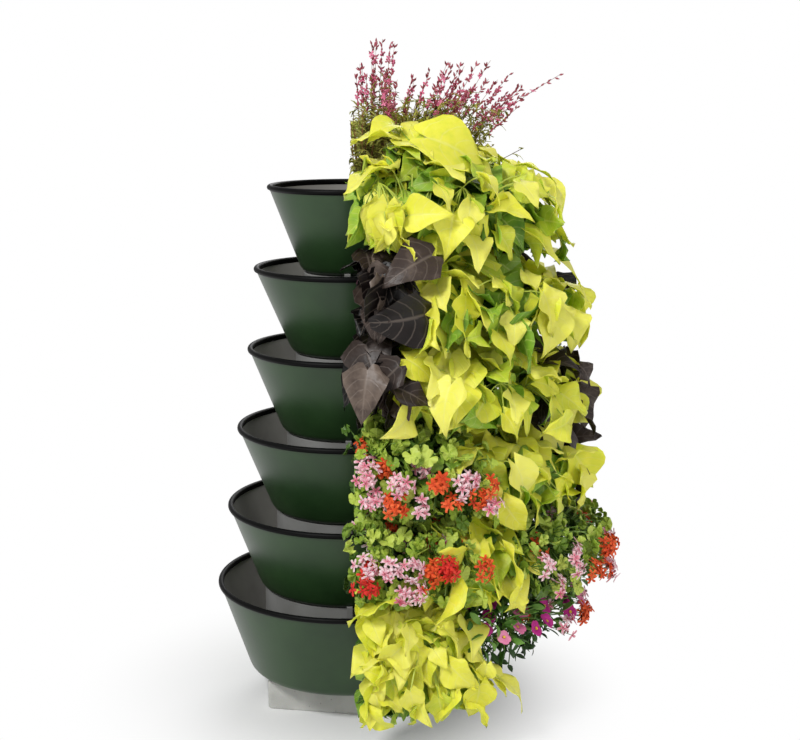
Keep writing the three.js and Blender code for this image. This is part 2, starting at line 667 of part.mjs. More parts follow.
// The planted half's sectors, and what grows in each tier's sectors, bottom tier first. At the
// top the vine also covers the side behind it, under the upright plant.
const FOUR_SECTORS = {
  front: { azimuthDeg: -72.5, spreadDeg: 45 },
  front_right: { azimuthDeg: -27.5, spreadDeg: 45 },
  back_right: { azimuthDeg: 17.5, spreadDeg: 45 },
  back: { azimuthDeg: 62.5, spreadDeg: 45 },
};
const THREE_SECTORS = {
  front: { azimuthDeg: -65, spreadDeg: 60 },
  right: { azimuthDeg: -5, spreadDeg: 60 },
  back: { azimuthDeg: 55, spreadDeg: 60 },
};
const TOP_SECTORS = {
  front: THREE_SECTORS.front,
  right: { azimuthDeg: 25, spreadDeg: 120 },
  back: { azimuthDeg: 70, spreadDeg: 30 },
};
const PLANTING = [
  { front: "lime_vine", right: "calibrachoa", back: "lime_vine" },
  { front: "geranium", front_right: "lime_vine", back_right: "geranium", back: "lime_vine" },
  { front: "geranium", front_right: "lime_vine", back_right: "purple_vine", back: "geranium" },
  { front: "purple_vine", right: "lime_vine", back: "lime_vine" },
  { front: "purple_vine", right: "lime_vine", back: "purple_vine" },
  { front: "lime_vine", right: "lime_vine", back: "pink_spikes" },
];

// Assembly
addPiece("plinth", plinthSolid(), "plinth");
addPiece("hold_down_bolt", boltSolid(), "bolt");
for (const tier of tiers) {
  addPiece(`pot_${tier.number}`, potSolid(tier), "pot");
  addPiece(`rim_trim_${tier.number}`, trimSolid(tier), "trim");
  if (tier.above) addPiece(`riser_${tier.number}`, riserSolid(tier), "riser");
  addPiece(`soil_${tier.number}`, soilSolid(tier), "soil");
  const planting = PLANTING[tier.number - 1];
  const belowTop = planting.right ? THREE_SECTORS : FOUR_SECTORS;
  const sectors = tier.above ? belowTop : TOP_SECTORS;
  for (const [place, species] of Object.entries(planting)) {
    const plant = growers[species](tier, sectors[place]);
    addPiece(`${species}_${tier.number}_${place}`, plant, species);
  }
}

export default tower;
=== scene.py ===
from math import asin, atan2, cos, hypot, pi, radians, sin, tan
from random import Random
from types import SimpleNamespace

import bmesh
import bpy
import numpy as np
from mathutils import Matrix, Vector


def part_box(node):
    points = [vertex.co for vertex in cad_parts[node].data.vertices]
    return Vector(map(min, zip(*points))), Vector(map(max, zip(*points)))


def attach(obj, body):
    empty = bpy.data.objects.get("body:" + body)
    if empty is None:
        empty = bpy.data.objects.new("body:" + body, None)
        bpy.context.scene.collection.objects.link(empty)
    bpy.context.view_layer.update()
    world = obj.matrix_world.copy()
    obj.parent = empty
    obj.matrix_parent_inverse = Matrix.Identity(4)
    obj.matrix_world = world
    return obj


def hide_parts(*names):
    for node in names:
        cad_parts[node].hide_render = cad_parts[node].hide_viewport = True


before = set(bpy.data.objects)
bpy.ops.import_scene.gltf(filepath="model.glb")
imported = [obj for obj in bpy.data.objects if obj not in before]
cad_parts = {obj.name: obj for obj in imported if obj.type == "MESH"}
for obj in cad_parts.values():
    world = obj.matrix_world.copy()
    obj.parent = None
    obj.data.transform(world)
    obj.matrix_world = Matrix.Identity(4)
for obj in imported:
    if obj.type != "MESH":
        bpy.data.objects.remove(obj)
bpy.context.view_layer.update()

# Plinth
# A square concrete paver, cast in a mould, with rounded corners and eased edges. It lies on
# the ground under the bottom pot, turned a little clockwise from square.
plinth_turn = radians(-11.6)
plinth_side = 0.248
plinth_corner = 0.009
plinth_ease = 0.003
corner_steps = 6
# Points of an eased edge, as shares of the ease: inset and rise
ease_shares = ((1, 0), (0.6, 0.08), (0.29, 0.29), (0.08, 0.6), (0, 1))


def linear(hex_colour):
    """An sRGB hex colour as the linear colour that a socket takes"""
    shares = [int(hex_colour[i:i + 2], 16) / 255 for i in (1, 3, 5)]
    return [s / 12.92 if s <= 0.04045 else ((s + 0.055) / 1.055) ** 2.4 for s in shares] + [1]


def add_node(tree, kind, inputs=(), stops=(), **settings):
    """A shader node with its settings, and its inputs as (socket, value or what is linked to it).

    A linked node gives its first output. A colour ramp's stops are (position, hex colour).
    """
    node = tree.nodes.new("ShaderNode" + kind)
    for name, value in settings.items():
        setattr(node, name, value)
    for socket, value in inputs:
        if isinstance(value, bpy.types.Node):
            value = value.outputs[0]
        if isinstance(value, bpy.types.NodeSocket):
            tree.links.new(value, node.inputs[socket])
        else:
            node.inputs[socket].default_value = value
    if stops:
        while len(node.color_ramp.elements) < len(stops):
            node.color_ramp.elements.new(0.5)
        for stop, (position, hex_colour) in zip(node.color_ramp.elements, stops):
            stop.position = position
            stop.color = linear(hex_colour)
    return node


def new_finish(name, roughness, **sockets):
    """A material, its tree, its shader and the place in the object that its patterns follow.

    What is the same all over is set on the shader.
    """
    finish = bpy.data.materials.new(name)
    finish.use_nodes = True
    shader = finish.node_tree.nodes["Principled BSDF"]
    shader.inputs["Roughness"].default_value = roughness
    for socket, value in sockets.items():
        shader.inputs[socket.replace("_", " ")].default_value = value
    place = add_node(finish.node_tree, "TexCoord").outputs["Object"]
    return finish, finish.node_tree, shader, place


def dress(tree, node, **sources):
    """Links what varies over the surface to a shader, or a shader to the output"""
    for socket, source in sources.items():
        tree.links.new(source.outputs[0], node.inputs[socket.replace("_", " ")])


def skin(rings, closed=False):
    """Points and faces that join rings of points, one to the next, flat at the ends or closed"""
    count = len(rings[0])
    faces = []
    for low in range(len(rings) - (0 if closed else 1)):
        high = (low + 1) % len(rings)
        for i in range(count):
            j = (i + 1) % count
            faces.append((low * count + i, low * count + j, high * count + j, high * count + i))
    if not closed:
        last = (len(rings) - 1) * count
        faces.append(tuple(reversed(range(count))))
        faces.append(tuple(range(last, last + count)))
    return [point for ring in rings for point in ring], faces


def shape_piece(name, points, faces, finishes, finish_of_face=None):
    """A mesh object with its faces pointing out"""
    mesh = bpy.data.meshes.new(name)
    mesh.from_pydata([tuple(point) for point in points], [], faces)
    for finish in finishes:
        mesh.materials.append(finish)
    if finish_of_face is not None:
        mesh.polygons.foreach_set("material_index", finish_of_face)
    work = bmesh.new()
    work.from_mesh(mesh)
    bmesh.ops.recalc_face_normals(work, faces=work.faces)
    work.to_mesh(mesh)
    work.free()
    piece = bpy.data.objects.new(name, mesh)
    bpy.context.scene.collection.objects.link(piece)
    return piece


def set_piece(piece, body, slot, *replaced, sharp=40):
    """Smooth shading up to a sharp angle, and what the piece rides on and stands for"""
    piece.data.shade_smooth()
    piece.data.set_sharp_from_angle(angle=radians(sharp))
    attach(piece, body)
    if replaced:
        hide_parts(*replaced)
    return piece


# Cast concrete: matt, mottled light grey, with sand grain and small pores, which are painted darker as
# painted shade in the holes. The sand is drawn coarser than it is, so that it shows.
mottle_width = 0.035
sand_grain = 0.0016
pore_pitch = 0.011
sand_relief = 0.0004
concrete, tree, shader, place = new_finish("cast_concrete", roughness=0.86)
mottle = add_node(tree, "TexNoise", [("Vector", place), ("Scale", 1 / mottle_width), ("Detail", 4)])
sand = add_node(tree, "TexNoise", [("Vector", place), ("Scale", 1 / sand_grain), ("Detail", 2)])
pores = add_node(tree, "TexVoronoi", [("Vector", place), ("Scale", 1 / pore_pitch)])
pore_edge = add_node(tree, "MapRange", [("Value", pores), ("From Min", 0.05), ("From Max", 0.14)])
greys = add_node(tree, "ValToRGB", [("Fac", mottle)], stops=((0.3, "#b3b3ae"), (0.7, "#c5c5c0")))
grainy = add_node(tree, "MixRGB", [
    ("Fac", 0.25), ("Color1", greys), ("Color2", sand.outputs["Color"])],
    blend_type="SOFT_LIGHT")
# Painted shade: the pores are painted darker grey, for the shade inside the small holes
pored = add_node(tree, "MixRGB", [
    ("Fac", pore_edge), ("Color1", linear("#8c8c88")),
    ("Color2", grainy)])
relief = add_node(tree, "Math", [(0, sand), (1, pore_edge)], operation="ADD")
bump = add_node(tree, "Bump", [("Strength", 0.5), ("Distance", sand_relief), ("Height", relief)])
dress(tree, shader, Base_Color=pored, Normal=bump)


def plinth_ring(inset, height):
    """The plinth's outline, with round corners, drawn in by an inset"""
    flat = plinth_side / 2 - plinth_corner
    radius = plinth_corner - inset
    ring = []
    for quarter in range(4):
        centre = Vector((flat, flat)) @ Matrix.Rotation(-quarter * pi / 2, 2)
        for step in range(corner_steps + 1):
            turn = quarter * pi / 2 + step / corner_steps * pi / 2
            ring.append((centre.x + radius * cos(turn), centre.y + radius * sin(turn)))
    turned_ring = [Vector(point) @ Matrix.Rotation(-plinth_turn, 2) for point in ring]
    return [(point.x, point.y, height) for point in turned_ring]


plinth_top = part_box("plinth")[1].z
plinth_rings = [plinth_ring(inset * plinth_ease, rise * plinth_ease) for inset, rise in ease_shares]
plinth_rings += [
    plinth_ring(inset * plinth_ease, plinth_top - rise * plinth_ease)
    for inset, rise in reversed(ease_shares)]
paver = shape_piece("concrete_plinth", *skin(plinth_rings), [concrete])
set_piece(paver, "tier_1", "plinth", "plinth", sharp=60)

# Pots
# Six tapered pots, injection-moulded in dark green polypropylene, grey inside, with a rounded
# foot and three drain holes. Each stands on the riser of the pot below it.
wall = 0.003
foot_corner = 0.014
drain_radius = 0.0045
drain_inset = 0.006
top_drain_inset = 0.0195
drain_turns = (-30, 90, 210)
trim_width = 0.0096
# How much wider each wall gets per metre of height, from the bottom pot up
wall_leans = (0.343, 0.38, 0.405, 0.4, 0.43, 0.385)
round_sides = 96
foot_steps = 5

tiers = []
for number, lean in enumerate(wall_leans, start=1):
    trim_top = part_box(f"rim_trim_{number}")[1]
    pot_foot, pot_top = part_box(f"pot_{number}")
    tiers.append(SimpleNamespace(
        number=number, body=f"tier_{number}", lean=lean,
        rim_radius=trim_top.x - trim_width / 2, rim_z=trim_top.z - trim_width / 2,
        base_z=pot_foot.z, floor_z=pot_foot.z + wall, edge_z=pot_top.z, edge_radius=pot_top.x,
        wall_across=wall * hypot(1, lean)))


def outer_at(tier, height):
    """The outside radius of a pot's wall at a height"""
    return tier.edge_radius - tier.lean * (tier.edge_z - height)


def circle(radius, height, sides=round_sides):
    turns = [2 * pi * i / sides for i in range(sides)]
    return [(radius * cos(turn), radius * sin(turn), height) for turn in turns]


def carve(piece, other, operation):
    """A boolean of the piece with another mesh, which is used up"""
    modifier = piece.modifiers.new("carve", "BOOLEAN")
    modifier.operation = operation
    modifier.object = other
    modifier.solver = "EXACT"
    shaped = piece.evaluated_get(bpy.context.evaluated_depsgraph_get())
    mesh = bpy.data.meshes.new_from_object(shaped)
    piece.modifiers.clear()
    piece.data = mesh
    bpy.data.objects.remove(other)


def upright_posts(places, radius, low, high, sides=20):
    """Round cutters standing at (radius, azimuth) places"""
    points, faces = [], []
    for place_radius, azimuth in places:
        x, y = place_radius * cos(azimuth), place_radius * sin(azimuth)
        post_points, post_faces = skin([
            [(x + px, y + py, pz) for px, py, pz in circle(radius, height, sides)] for height in (low, high)])
        faces += [tuple(i + len(points) for i in face) for face in post_faces]
        points += post_points
    return points, faces


# Moulded polypropylene, satin: fine mould grain, a slightly cloudy colour and a soft sheen. The
# mould grain is drawn coarser than it is, so that it shows.
mould_grain = 0.0013
mould_relief = 0.0002
cloud_width = 0.09
plastics = {}
for name, dark, pale, sheen in (
        ("moulded_green_polypropylene", "#1f3a1b", "#294623", 0.36),
        ("moulded_grey_polypropylene", "#7d7b77", "#8f8d88", 0.5),
        ("moulded_pale_polypropylene", "#7e7e7b", "#929290", 0.52)):
    plastics[name], tree, shader, place = new_finish(name, roughness=sheen, IOR=1.49)
    clouds = add_node(tree, "TexNoise", [("Vector", place), ("Scale", 1 / cloud_width), ("Detail", 3)])
    grain = add_node(tree, "TexNoise", [("Vector", place), ("Scale", 1 / mould_grain), ("Detail", 1)])
    shades = add_node(tree, "ValToRGB", [("Fac", clouds)], stops=((0.35, dark), (0.65, pale)))
    bump = add_node(tree, "Bump", [("Strength", 0.12), ("Distance", mould_relief), ("Height", grain)])
    gloss = add_node(tree, "MapRange", [
        ("Value", clouds), ("To Min", sheen - 0.05), ("To Max", sheen + 0.06)])
    dress(tree, shader, Base_Color=shades, Roughness=gloss, Normal=bump)


def bend_curve(start, middle, end, steps):
    """Points on a quadratic curve"""
    start, middle, end = Vector(start), Vector(middle), Vector(end)
    return [
        start * (1 - t) ** 2 + middle * 2 * t * (1 - t) + end * t ** 2
        for t in (i / steps for i in range(steps + 1))]


for tier, above in zip(tiers, tiers[1:] + [None]):
    corner_top = tier.base_z + foot_corner
    foot_radius = outer_at(tier, tier.base_z)
    flat_radius = foot_radius - foot_corner
    corner_radius = outer_at(tier, corner_top)
    profile = bend_curve(
        (flat_radius, tier.base_z), (foot_radius, tier.base_z), (corner_radius, corner_top), foot_steps)
    profile += [(tier.edge_radius, tier.edge_z), (tier.edge_radius - tier.wall_across, tier.edge_z)]
    profile += bend_curve(
        (corner_radius - tier.wall_across, corner_top),
        (outer_at(tier, tier.floor_z) - tier.wall_across, tier.floor_z),
        (flat_radius, tier.floor_z), foot_steps)
    points, faces = skin([circle(radius, height) for radius, height in profile])
    outside_faces = (foot_steps + 2) * round_sides
    grey = [0 if i < outside_faces else 1 for i in range(len(faces) - 2)] + [0, 1]
    pot = shape_piece(f"green_pot_{tier.number}", points, faces, [
        plastics["moulded_green_polypropylene"], plastics["moulded_grey_polypropylene"]], grey)
    if above:
        drain_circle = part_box(f"riser_{tier.number}")[1].x + drain_inset
    else:
        drain_circle = flat_radius - top_drain_inset
    holes = [(drain_circle, radians(turn)) for turn in drain_turns]
    if tier is tiers[0]:
        holes.append((0, 0))
    cutter = shape_piece("drain_cutter", *upright_posts(
        holes, drain_radius, tier.base_z - wall, tier.floor_z + wall), [])
    carve(pot, cutter, "DIFFERENCE")
    set_piece(pot, tier.body, "pot", f"pot_{tier.number}")

# Edge trims
# A black rubber bead is pushed over each pot's edge. It is extruded with a groove that grips
# the wall on both sides, bent into a ring and butted at the back.
trim_lip = 0.005
bead_steps = 14
bead_start, bead_sweep = -35, 250
bead_gap = 0.0003

# Extruded EPDM rubber: near black, a smooth skin with a dull, broad highlight and a little dust.
# The grain of the skin is drawn coarser than it is, so that it shows.
skin_grain = 0.0008
skin_relief = 0.0001
dust_width = 0.02
rubber, tree, shader, place = new_finish("extruded_rubber", roughness=0.5, Specular_IOR_Level=0.12)
grain = add_node(tree, "TexNoise", [("Vector", place), ("Scale", 1 / skin_grain), ("Detail", 2)])
dust = add_node(tree, "TexNoise", [("Vector", place), ("Scale", 1 / dust_width), ("Detail", 4)])
blacks = add_node(tree, "ValToRGB", [("Fac", dust)], stops=((0, "#020202"), (1, "#080808")))
bump = add_node(tree, "Bump", [("Strength", 0.1), ("Distance", skin_relief), ("Height", grain)])
dress(tree, shader, Base_Color=blacks, Normal=bump)

for tier in tiers:
    lip_z = tier.rim_z - trim_lip
    outer_lip = outer_at(tier, lip_z) + bead_gap
    inner_lip = outer_at(tier, lip_z) - tier.wall_across - bead_gap
    profile = [(outer_lip, lip_z)]
    for step in range(bead_steps + 1):
        turn = radians(bead_start + step / bead_steps * bead_sweep)
        profile.append((
            tier.rim_radius + trim_width / 2 * cos(turn), tier.rim_z + trim_width / 2 * sin(turn)))
    profile += [
        (inner_lip, lip_z), (tier.edge_radius - tier.wall_across - bead_gap, tier.rim_z),
        (tier.edge_radius + bead_gap, tier.rim_z)]
    bead = shape_piece(f"rubber_bead_{tier.number}", *skin(
        [circle(radius, height) for radius, height in profile], closed=True), [rubber])
    set_piece(bead, tier.body, "trim", f"rim_trim_{tier.number}", sharp=50)

# Risers
# A round collar of pale polypropylene stands in each pot and carries the next one on a flat
# flange. Three lugs beside the foot of the pot above keep it central, and three notches in its
# own foot face the drain holes.
riser_wall = 0.003
riser_flange = 0.015
edge_round = 0.0008
notch_width = 0.024
notch_height = 0.012
lug_width = 0.010
lug_thickness = 0.005
lug_clearance = 0.0012
lug_rise = 0.006
lug_drop = 0.034
lug_foot = 0.012
lug_turns = (-90, 30, 150)


def radial_plate(outline, width, azimuth):
    """An outline in radius and height, as a plate of a width, turned to an azimuth"""
    rings = []
    for side in (-width / 2, width / 2):
        rings.append([(
            radius * cos(azimuth) - side * sin(azimuth),
            radius * sin(azimuth) + side * cos(azimuth), height) for radius, height in outline])
    return skin(rings)


for tier, above in zip(tiers, tiers[1:]):
    node = f"riser_{tier.number}"
    riser_foot, riser_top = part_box(node)
    outer = riser_top.x
    foot_z = riser_foot.z
    seat_z = above.base_z - bead_gap
    bore = outer - riser_wall
    lip = outer - riser_flange
    profile = [
        (outer, foot_z), (outer, seat_z - edge_round), (outer - edge_round, seat_z),
        (lip + edge_round, seat_z), (lip, seat_z - edge_round), (lip, seat_z - riser_wall),
        (bore, seat_z - riser_wall), (bore, foot_z)]
    riser = shape_piece(f"pale_{node}", *skin(
        [circle(radius, height) for radius, height in profile], closed=True),
        [plastics["moulded_pale_polypropylene"]])
    inner_face = outer_at(above, above.base_z) + lug_clearance
    outer_face = inner_face + lug_thickness
    root = outer - riser_wall / 2
    outline = [
        (root, seat_z - lug_drop - lug_foot), (outer_face, seat_z - lug_drop),
        (outer_face, seat_z + lug_rise - edge_round), (outer_face - edge_round, seat_z + lug_rise),
        (inner_face, seat_z + lug_rise), (inner_face, seat_z), (root, seat_z)]
    for turn in lug_turns:
        lug = shape_piece("lug", *radial_plate(outline, lug_width, radians(turn)), [])
        carve(riser, lug, "UNION")
    for turn in drain_turns:
        notch_outline = [
            (outer - 2 * riser_wall, foot_z - wall), (outer + riser_wall, foot_z - wall),
            (outer + riser_wall, foot_z + notch_height), (outer - 2 * riser_wall, foot_z + notch_height)]
        notch = shape_piece("notch", *radial_plate(notch_outline, notch_width, radians(turn)), [])
        carve(riser, notch, "DIFFERENCE")
    set_piece(riser, tier.body, "riser", node)

# Hold-down bolt
# A hexagon-headed bolt with a washer goes through the bottom pot's floor into the plinth. It
# is zinc-plated steel, turned and rolled, out of sight in the bottom riser.

# Zinc-plated steel: bright bluish grey, with the crystals of the plating, drawn coarser than
# they are, so that they show
plating_grain = 0.0012
steel, tree, shader, place = new_finish("zinc_plated_steel", roughness=0.32, Metallic=1.0)
plating = add_node(tree, "TexNoise", [("Vector", place), ("Scale", 1 / plating_grain), ("Detail", 2)])
zincs = add_node(tree, "ValToRGB", [("Fac", plating)], stops=((0, "#9a9b9c"), (1, "#c9cac8")))
dress(tree, shader, Base_Color=zincs)
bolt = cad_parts["hold_down_bolt"]
bolt.data.materials.clear()
bolt.data.materials.append(steel)

# Potting mix
# Composted bark and coir, filled into the planted half of each pot between its wall and its
# riser, and banked off towards the bare half. Bark chips lie on it.
soil_drop = 0.022
soil_gap = 0.0006
soil_face_x = 0.014
# The mix reaches past a half circle at each end, where the bank runs down
soil_turn = pi / 2 + 0.62
bank_slope = tan(radians(60))
foot_slope = 1.2
top_core_radius = 0.001
soil_lump = 0.0025
soil_columns = 72
soil_rows = 9
slope_rounds = 4
chips = 150
chip_turn = 1.75
chip_tilt = 0.5
chip_long = (0.006, 0.014)
chip_width_share = 0.2
chip_ragged = (0.7, 1.2)
chip_thickness_share = 0.1
chip_lift = 0.0015
chip_core_space = 0.006
chip_rim_space = 0.03
chip_ground = 0.01

# Composted bark: matt dark brown fibres, darker where damp, with paler chips
crumb = 0.004
crumb_relief = 0.002
damp_patch = 0.05
mix, tree, shader, place = new_finish("bark_potting_mix", roughness=0.95)
crumbs = add_node(tree, "TexNoise", [("Vector", place), ("Scale", 1 / crumb), ("Detail", 5)])
damp = add_node(tree, "TexNoise", [("Vector", place), ("Scale", 1 / damp_patch), ("Detail", 2)])
browns = add_node(tree, "ValToRGB", [("Fac", crumbs)], stops=((0.3, "#1a110b"), (0.75, "#5a4130")))
damped = add_node(tree, "MixRGB", [
    ("Fac", 0.6), ("Color1", browns), ("Color2", damp.outputs["Color"])],
    blend_type="MULTIPLY")
bump = add_node(tree, "Bump", [("Strength", 0.9), ("Distance", crumb_relief), ("Height", crumbs)])
dress(tree, shader, Base_Color=damped, Normal=bump)


def soil_height(x, top_z):
    """The mix is level over the planted half and falls away at the bank"""
    return min(top_z, top_z - (soil_face_x - x) * bank_slope)


for tier, above in zip(tiers, tiers[1:] + [None]):
    dice = Random(tier.number)
    top_z = tier.rim_z - soil_drop
    low_z = tier.floor_z + soil_gap
    core_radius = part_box(f"riser_{tier.number}")[1].x + soil_gap if above else top_core_radius
    foot_radius = outer_at(tier, tier.base_z) - foot_corner
    upper, lower = [], []
    for column in range(soil_columns + 1):
        turn = (column / soil_columns * 2 - 1) * soil_turn
        for row in range(soil_rows + 1):
            share = row / soil_rows
            height = top_z
            # The wall leans, so the radius and the height are found together, in a few rounds
            for _ in range(slope_rounds):
                wall_radius = min(
                    outer_at(tier, height) - tier.wall_across,
                    foot_radius + (height - tier.floor_z) * foot_slope)
                radius = core_radius + share * (wall_radius - soil_gap - core_radius)
                height = max(low_z, soil_height(radius * cos(turn), top_z))
            lump = dice.uniform(-soil_lump, soil_lump) if height > low_z + 2 * soil_lump else 0
            height = max(low_z, height + lump)
            upper.append((radius * cos(turn), radius * sin(turn), height))
            under = min(radius, foot_radius)
            lower.append((under * cos(turn), under * sin(turn), low_z - soil_gap / 2))
    stride = soil_rows + 1
    count = len(upper)
    faces = []
    for column in range(soil_columns):
        for row in range(soil_rows):
            i = column * stride + row
            faces.append((i, i + stride, i + stride + 1, i + 1))
            faces.append((count + i, count + i + 1, count + i + stride + 1, count + i + stride))
        for row in (0, soil_rows):
            i = column * stride + row
            faces.append((i, i + stride, count + i + stride, count + i))
    for column in (0, soil_columns):
        for row in range(soil_rows):
            i = column * stride + row
            faces.append((i, i + 1, count + i + 1, count + i))
    points = upper + lower
    for _ in range(chips):
        turn = dice.uniform(-chip_turn, chip_turn)
        radius = core_radius + chip_core_space + dice.random() * (
            tier.rim_radius - chip_rim_space - core_radius)
        x, y = radius * cos(turn), radius * sin(turn)
        ground = soil_height(x, top_z)
        edge = outer_at(tier, ground) - tier.wall_across - chip_long[1]
        if ground < low_z + chip_ground or radius > edge or radius < core_radius + chip_long[1] / 2:
            continue
        long = dice.uniform(*chip_long)
        spin = Matrix.Rotation(dice.uniform(0, pi), 3, "Z")
        spin = spin @ Matrix.Rotation(dice.uniform(-chip_tilt, chip_tilt), 3, "X")
        corners = []
        for end in (-1, 1):
            for a, b in ((-1, -1), (1, -1), (1, 1), (-1, 1)):
                width = a * long * chip_width_share * dice.uniform(*chip_ragged)
                corner = Vector((end * long / 2, width, b * long * chip_thickness_share))
                corners.append(spin @ corner + Vector((x, y, ground + chip_lift)))
        start = len(points)
        points += corners
        faces += [tuple(start + i for i in face) for face in (
            (0, 1, 2, 3), (4, 7, 6, 5), (0, 4, 5, 1), (1, 5, 6, 2), (2, 6, 7, 3), (3, 7, 4, 0))]
    fill = shape_piece(f"bark_mix_{tier.number}", points, faces, [mix])
    set_piece(fill, tier.body, "soil", f"soil_{tier.number}", sharp=60)

# Lime sweet-potato vines
# Trailing vines with thin lime-green heart-shaped leaves. They root in the potting mix and
# their runners go over the rim, each leaf on its own leaf stalk.
foliage_rise = 0.095
foliage_fall = 0.45
top_foliage_rise = 0.13
top_foliage_fall = 0.5
tier_space = 0.002
ground_space = 0.07
rim_space = 0.010
left_limit = 0.008
right_limit = 0.474
front_limit = -0.376
back_limit = 0.404
longest_reach = 0.3
# How far each tier's plants reach, from the front round the right side to the back
reach_shares = (
    (0.42, 0.5, 0.58, 0.66, 0.62, 0.52, 0.46), (0.42, 0.52, 0.72, 0.88, 0.88, 0.7, 0.55),
    (0.42, 0.55, 0.74, 0.82, 0.8, 0.7, 0.57), (0.4, 0.54, 0.76, 0.85, 0.8, 0.68, 0.54),
    (0.4, 0.56, 0.8, 0.9, 0.84, 0.7, 0.56), (0.42, 0.55, 0.76, 0.84, 0.78, 0.66, 0.5))

runner_radius = 0.0024
runner_stop = (0.05, 0.08)
runner_depth = (0.05, 0.075)
runner_arch = (0.016, 0.028)
runner_lift = 0.012
runner_shares = (0.4, 0.75, 1.0)
runner_sides = 6
runner_steps = 4
runner_taper = 0.45
crown_scatter = 0.012
top_crown_share = 0.2
# How much of a runner's turn is done where it goes over the rim
rim_turn_share = 0.55
rim_overlap = 0.004

leaf_thickness = 0.0009
leaf_ruffle = (0.002, 0.008)
# Undersides of leaves and petals are painted darker by this factor, as painted shade
underside_shade_factor = 0.8
stalk_radius = 0.0012
stalk_space = 0.003
stalk_sag = 0.01
stalk_arch_share = 0.25
stalk_sides = 4
stalk_steps = 4
shown_fold = 0.18
blade_finish, stalk_finish = 0, 1
# The half that is planted starts at the left limit, and its leaves end unevenly there
edge_shifts = (-0.02, 0.0, 0.006, 0.012, 0.018, 0.024, 0.03)
settle_tries = 12
settle_shrink = 0.92

light_depth = 0.004
vein_relief = 0.0009
side_vein_pairs = 6
side_vein_slant = -1.5
vein_depth = -0.6
blotch_width = 0.022
blister_width = 0.006

shoulder_start = 0.015
shoulder_dip, edge_dip, low_dip = 18, 44, 74
leaf_foot_space = 0.012
# How much of a leaf's length lies inside of the place that it is grown for
inside_share = 0.7
golden_share = 0.618
lifted_share = 0.2
lifted_turn = radians(38)
# Painted shade: a share of the leaves is painted darker by a factor, as leaves in shade
shaded_share = 0.06
shaded_tone = 0.45
low_stretch_drop = 0.07
# The layers of a vine's leaves: depth under the outside, tone, and share of the leaf count. The tone is
# painted shade: deeper leaves are painted darker
vine_layers = ((0.055, 0.06, 1.0), (0.03, 0.3, 1.0), (0.012, 0.72, 0.85), (0, 0.95, 0.75))


def ceiling_at(tier, radius):
    """The highest that a tier's plants grow, so that the tier above lifts clear"""
    if tier is tiers[-1]:
        return tier.rim_z + top_foliage_rise - top_foliage_fall * (radius - tier.rim_radius)
    return tier.rim_z + foliage_rise - foliage_fall * (radius - tier.rim_radius)


def floor_at(tier, radius):
    """The lowest that a tier's plants hang, so that they lift clear of the tier below"""
    if tier is tiers[0]:
        return np.full(np.shape(radius), ground_space)
    return ceiling_at(tiers[tier.number - 2], radius) + tier_space


def reach_of(tier, azimuth):
    """How far a tier's plants reach past its rim at an azimuth"""
    shares = reach_shares[tier.number - 1]
    return longest_reach * float(np.interp(azimuth, np.linspace(-pi / 2, pi / 2, len(shares)), shares))


def polar(azimuth, radius, height):
    return Vector((radius * cos(azimuth), radius * sin(azimuth), height))


def crown_of(tier, azimuth):
    """Where a plant roots: on the mix, between the pot above and the wall"""
    height = tier.rim_z - soil_drop
    outer = outer_at(tier, height) - tier.wall_across
    inner = outer_at(tiers[tier.number], height) if tier.number < len(tiers) else top_crown_share * outer
    return polar(azimuth, 0.5 * (outer + inner), height)


def grow(plant, points, faces, finish, marks):
    """Adds a leaf, stalk or petal to a plant"""
    plant.points.append(points)
    plant.marks.append(marks)
    plant.faces += [tuple(i + plant.count for i in face) for face in faces]
    plant.finishes += [finish] * len(faces)
    plant.count += len(points)


def tube(path, radii, sides):
    """A round stem along a path, with its radius at each point"""
    path = [Vector(point) for point in path]
    rings = []
    side = None
    for i, point in enumerate(path):
        along = (path[min(i + 1, len(path) - 1)] - path[max(i - 1, 0)]).normalized()
        if side is None:
            side = along.orthogonal().normalized()
        side = (side - along * side.dot(along)).normalized()
        other = along.cross(side)
        rings.append([
            tuple(point + (side * cos(2 * pi * k / sides) + other * sin(2 * pi * k / sides)) * radii[i])
            for k in range(sides)])
    return skin(rings)


def grow_stem(plant, path, radii, sides, finish, tone):
    """A stem along a path, with one radius or with a radius at each point"""
    if isinstance(radii, float):
        radii = [radii] * len(path)
    points, faces = tube(path, radii, sides)
    points = np.array(points)
    marks = np.zeros((len(points), 3))
    marks[:, 1] = np.repeat(np.linspace(0, 1, len(path)), sides)
    marks[:, 2] = tone
    grow(plant, points, faces, finish, marks)


def smooth_path(points, steps):
    """A smooth path through points, as a Catmull-Rom spline"""
    points = [Vector(point) for point in points]
    points = [2 * points[0] - points[1]] + points + [2 * points[-1] - points[-2]]
    path = []
    for a, b, c, d in zip(points, points[1:], points[2:], points[3:]):
        for i in range(steps):
            t = i / steps
            path.append(0.5 * (
                2 * b + (c - a) * t + (2 * a - 5 * b + 4 * c - d) * t * t
                + (3 * b - a - 3 * c + d) * t ** 3))
    return path + [points[-2]]


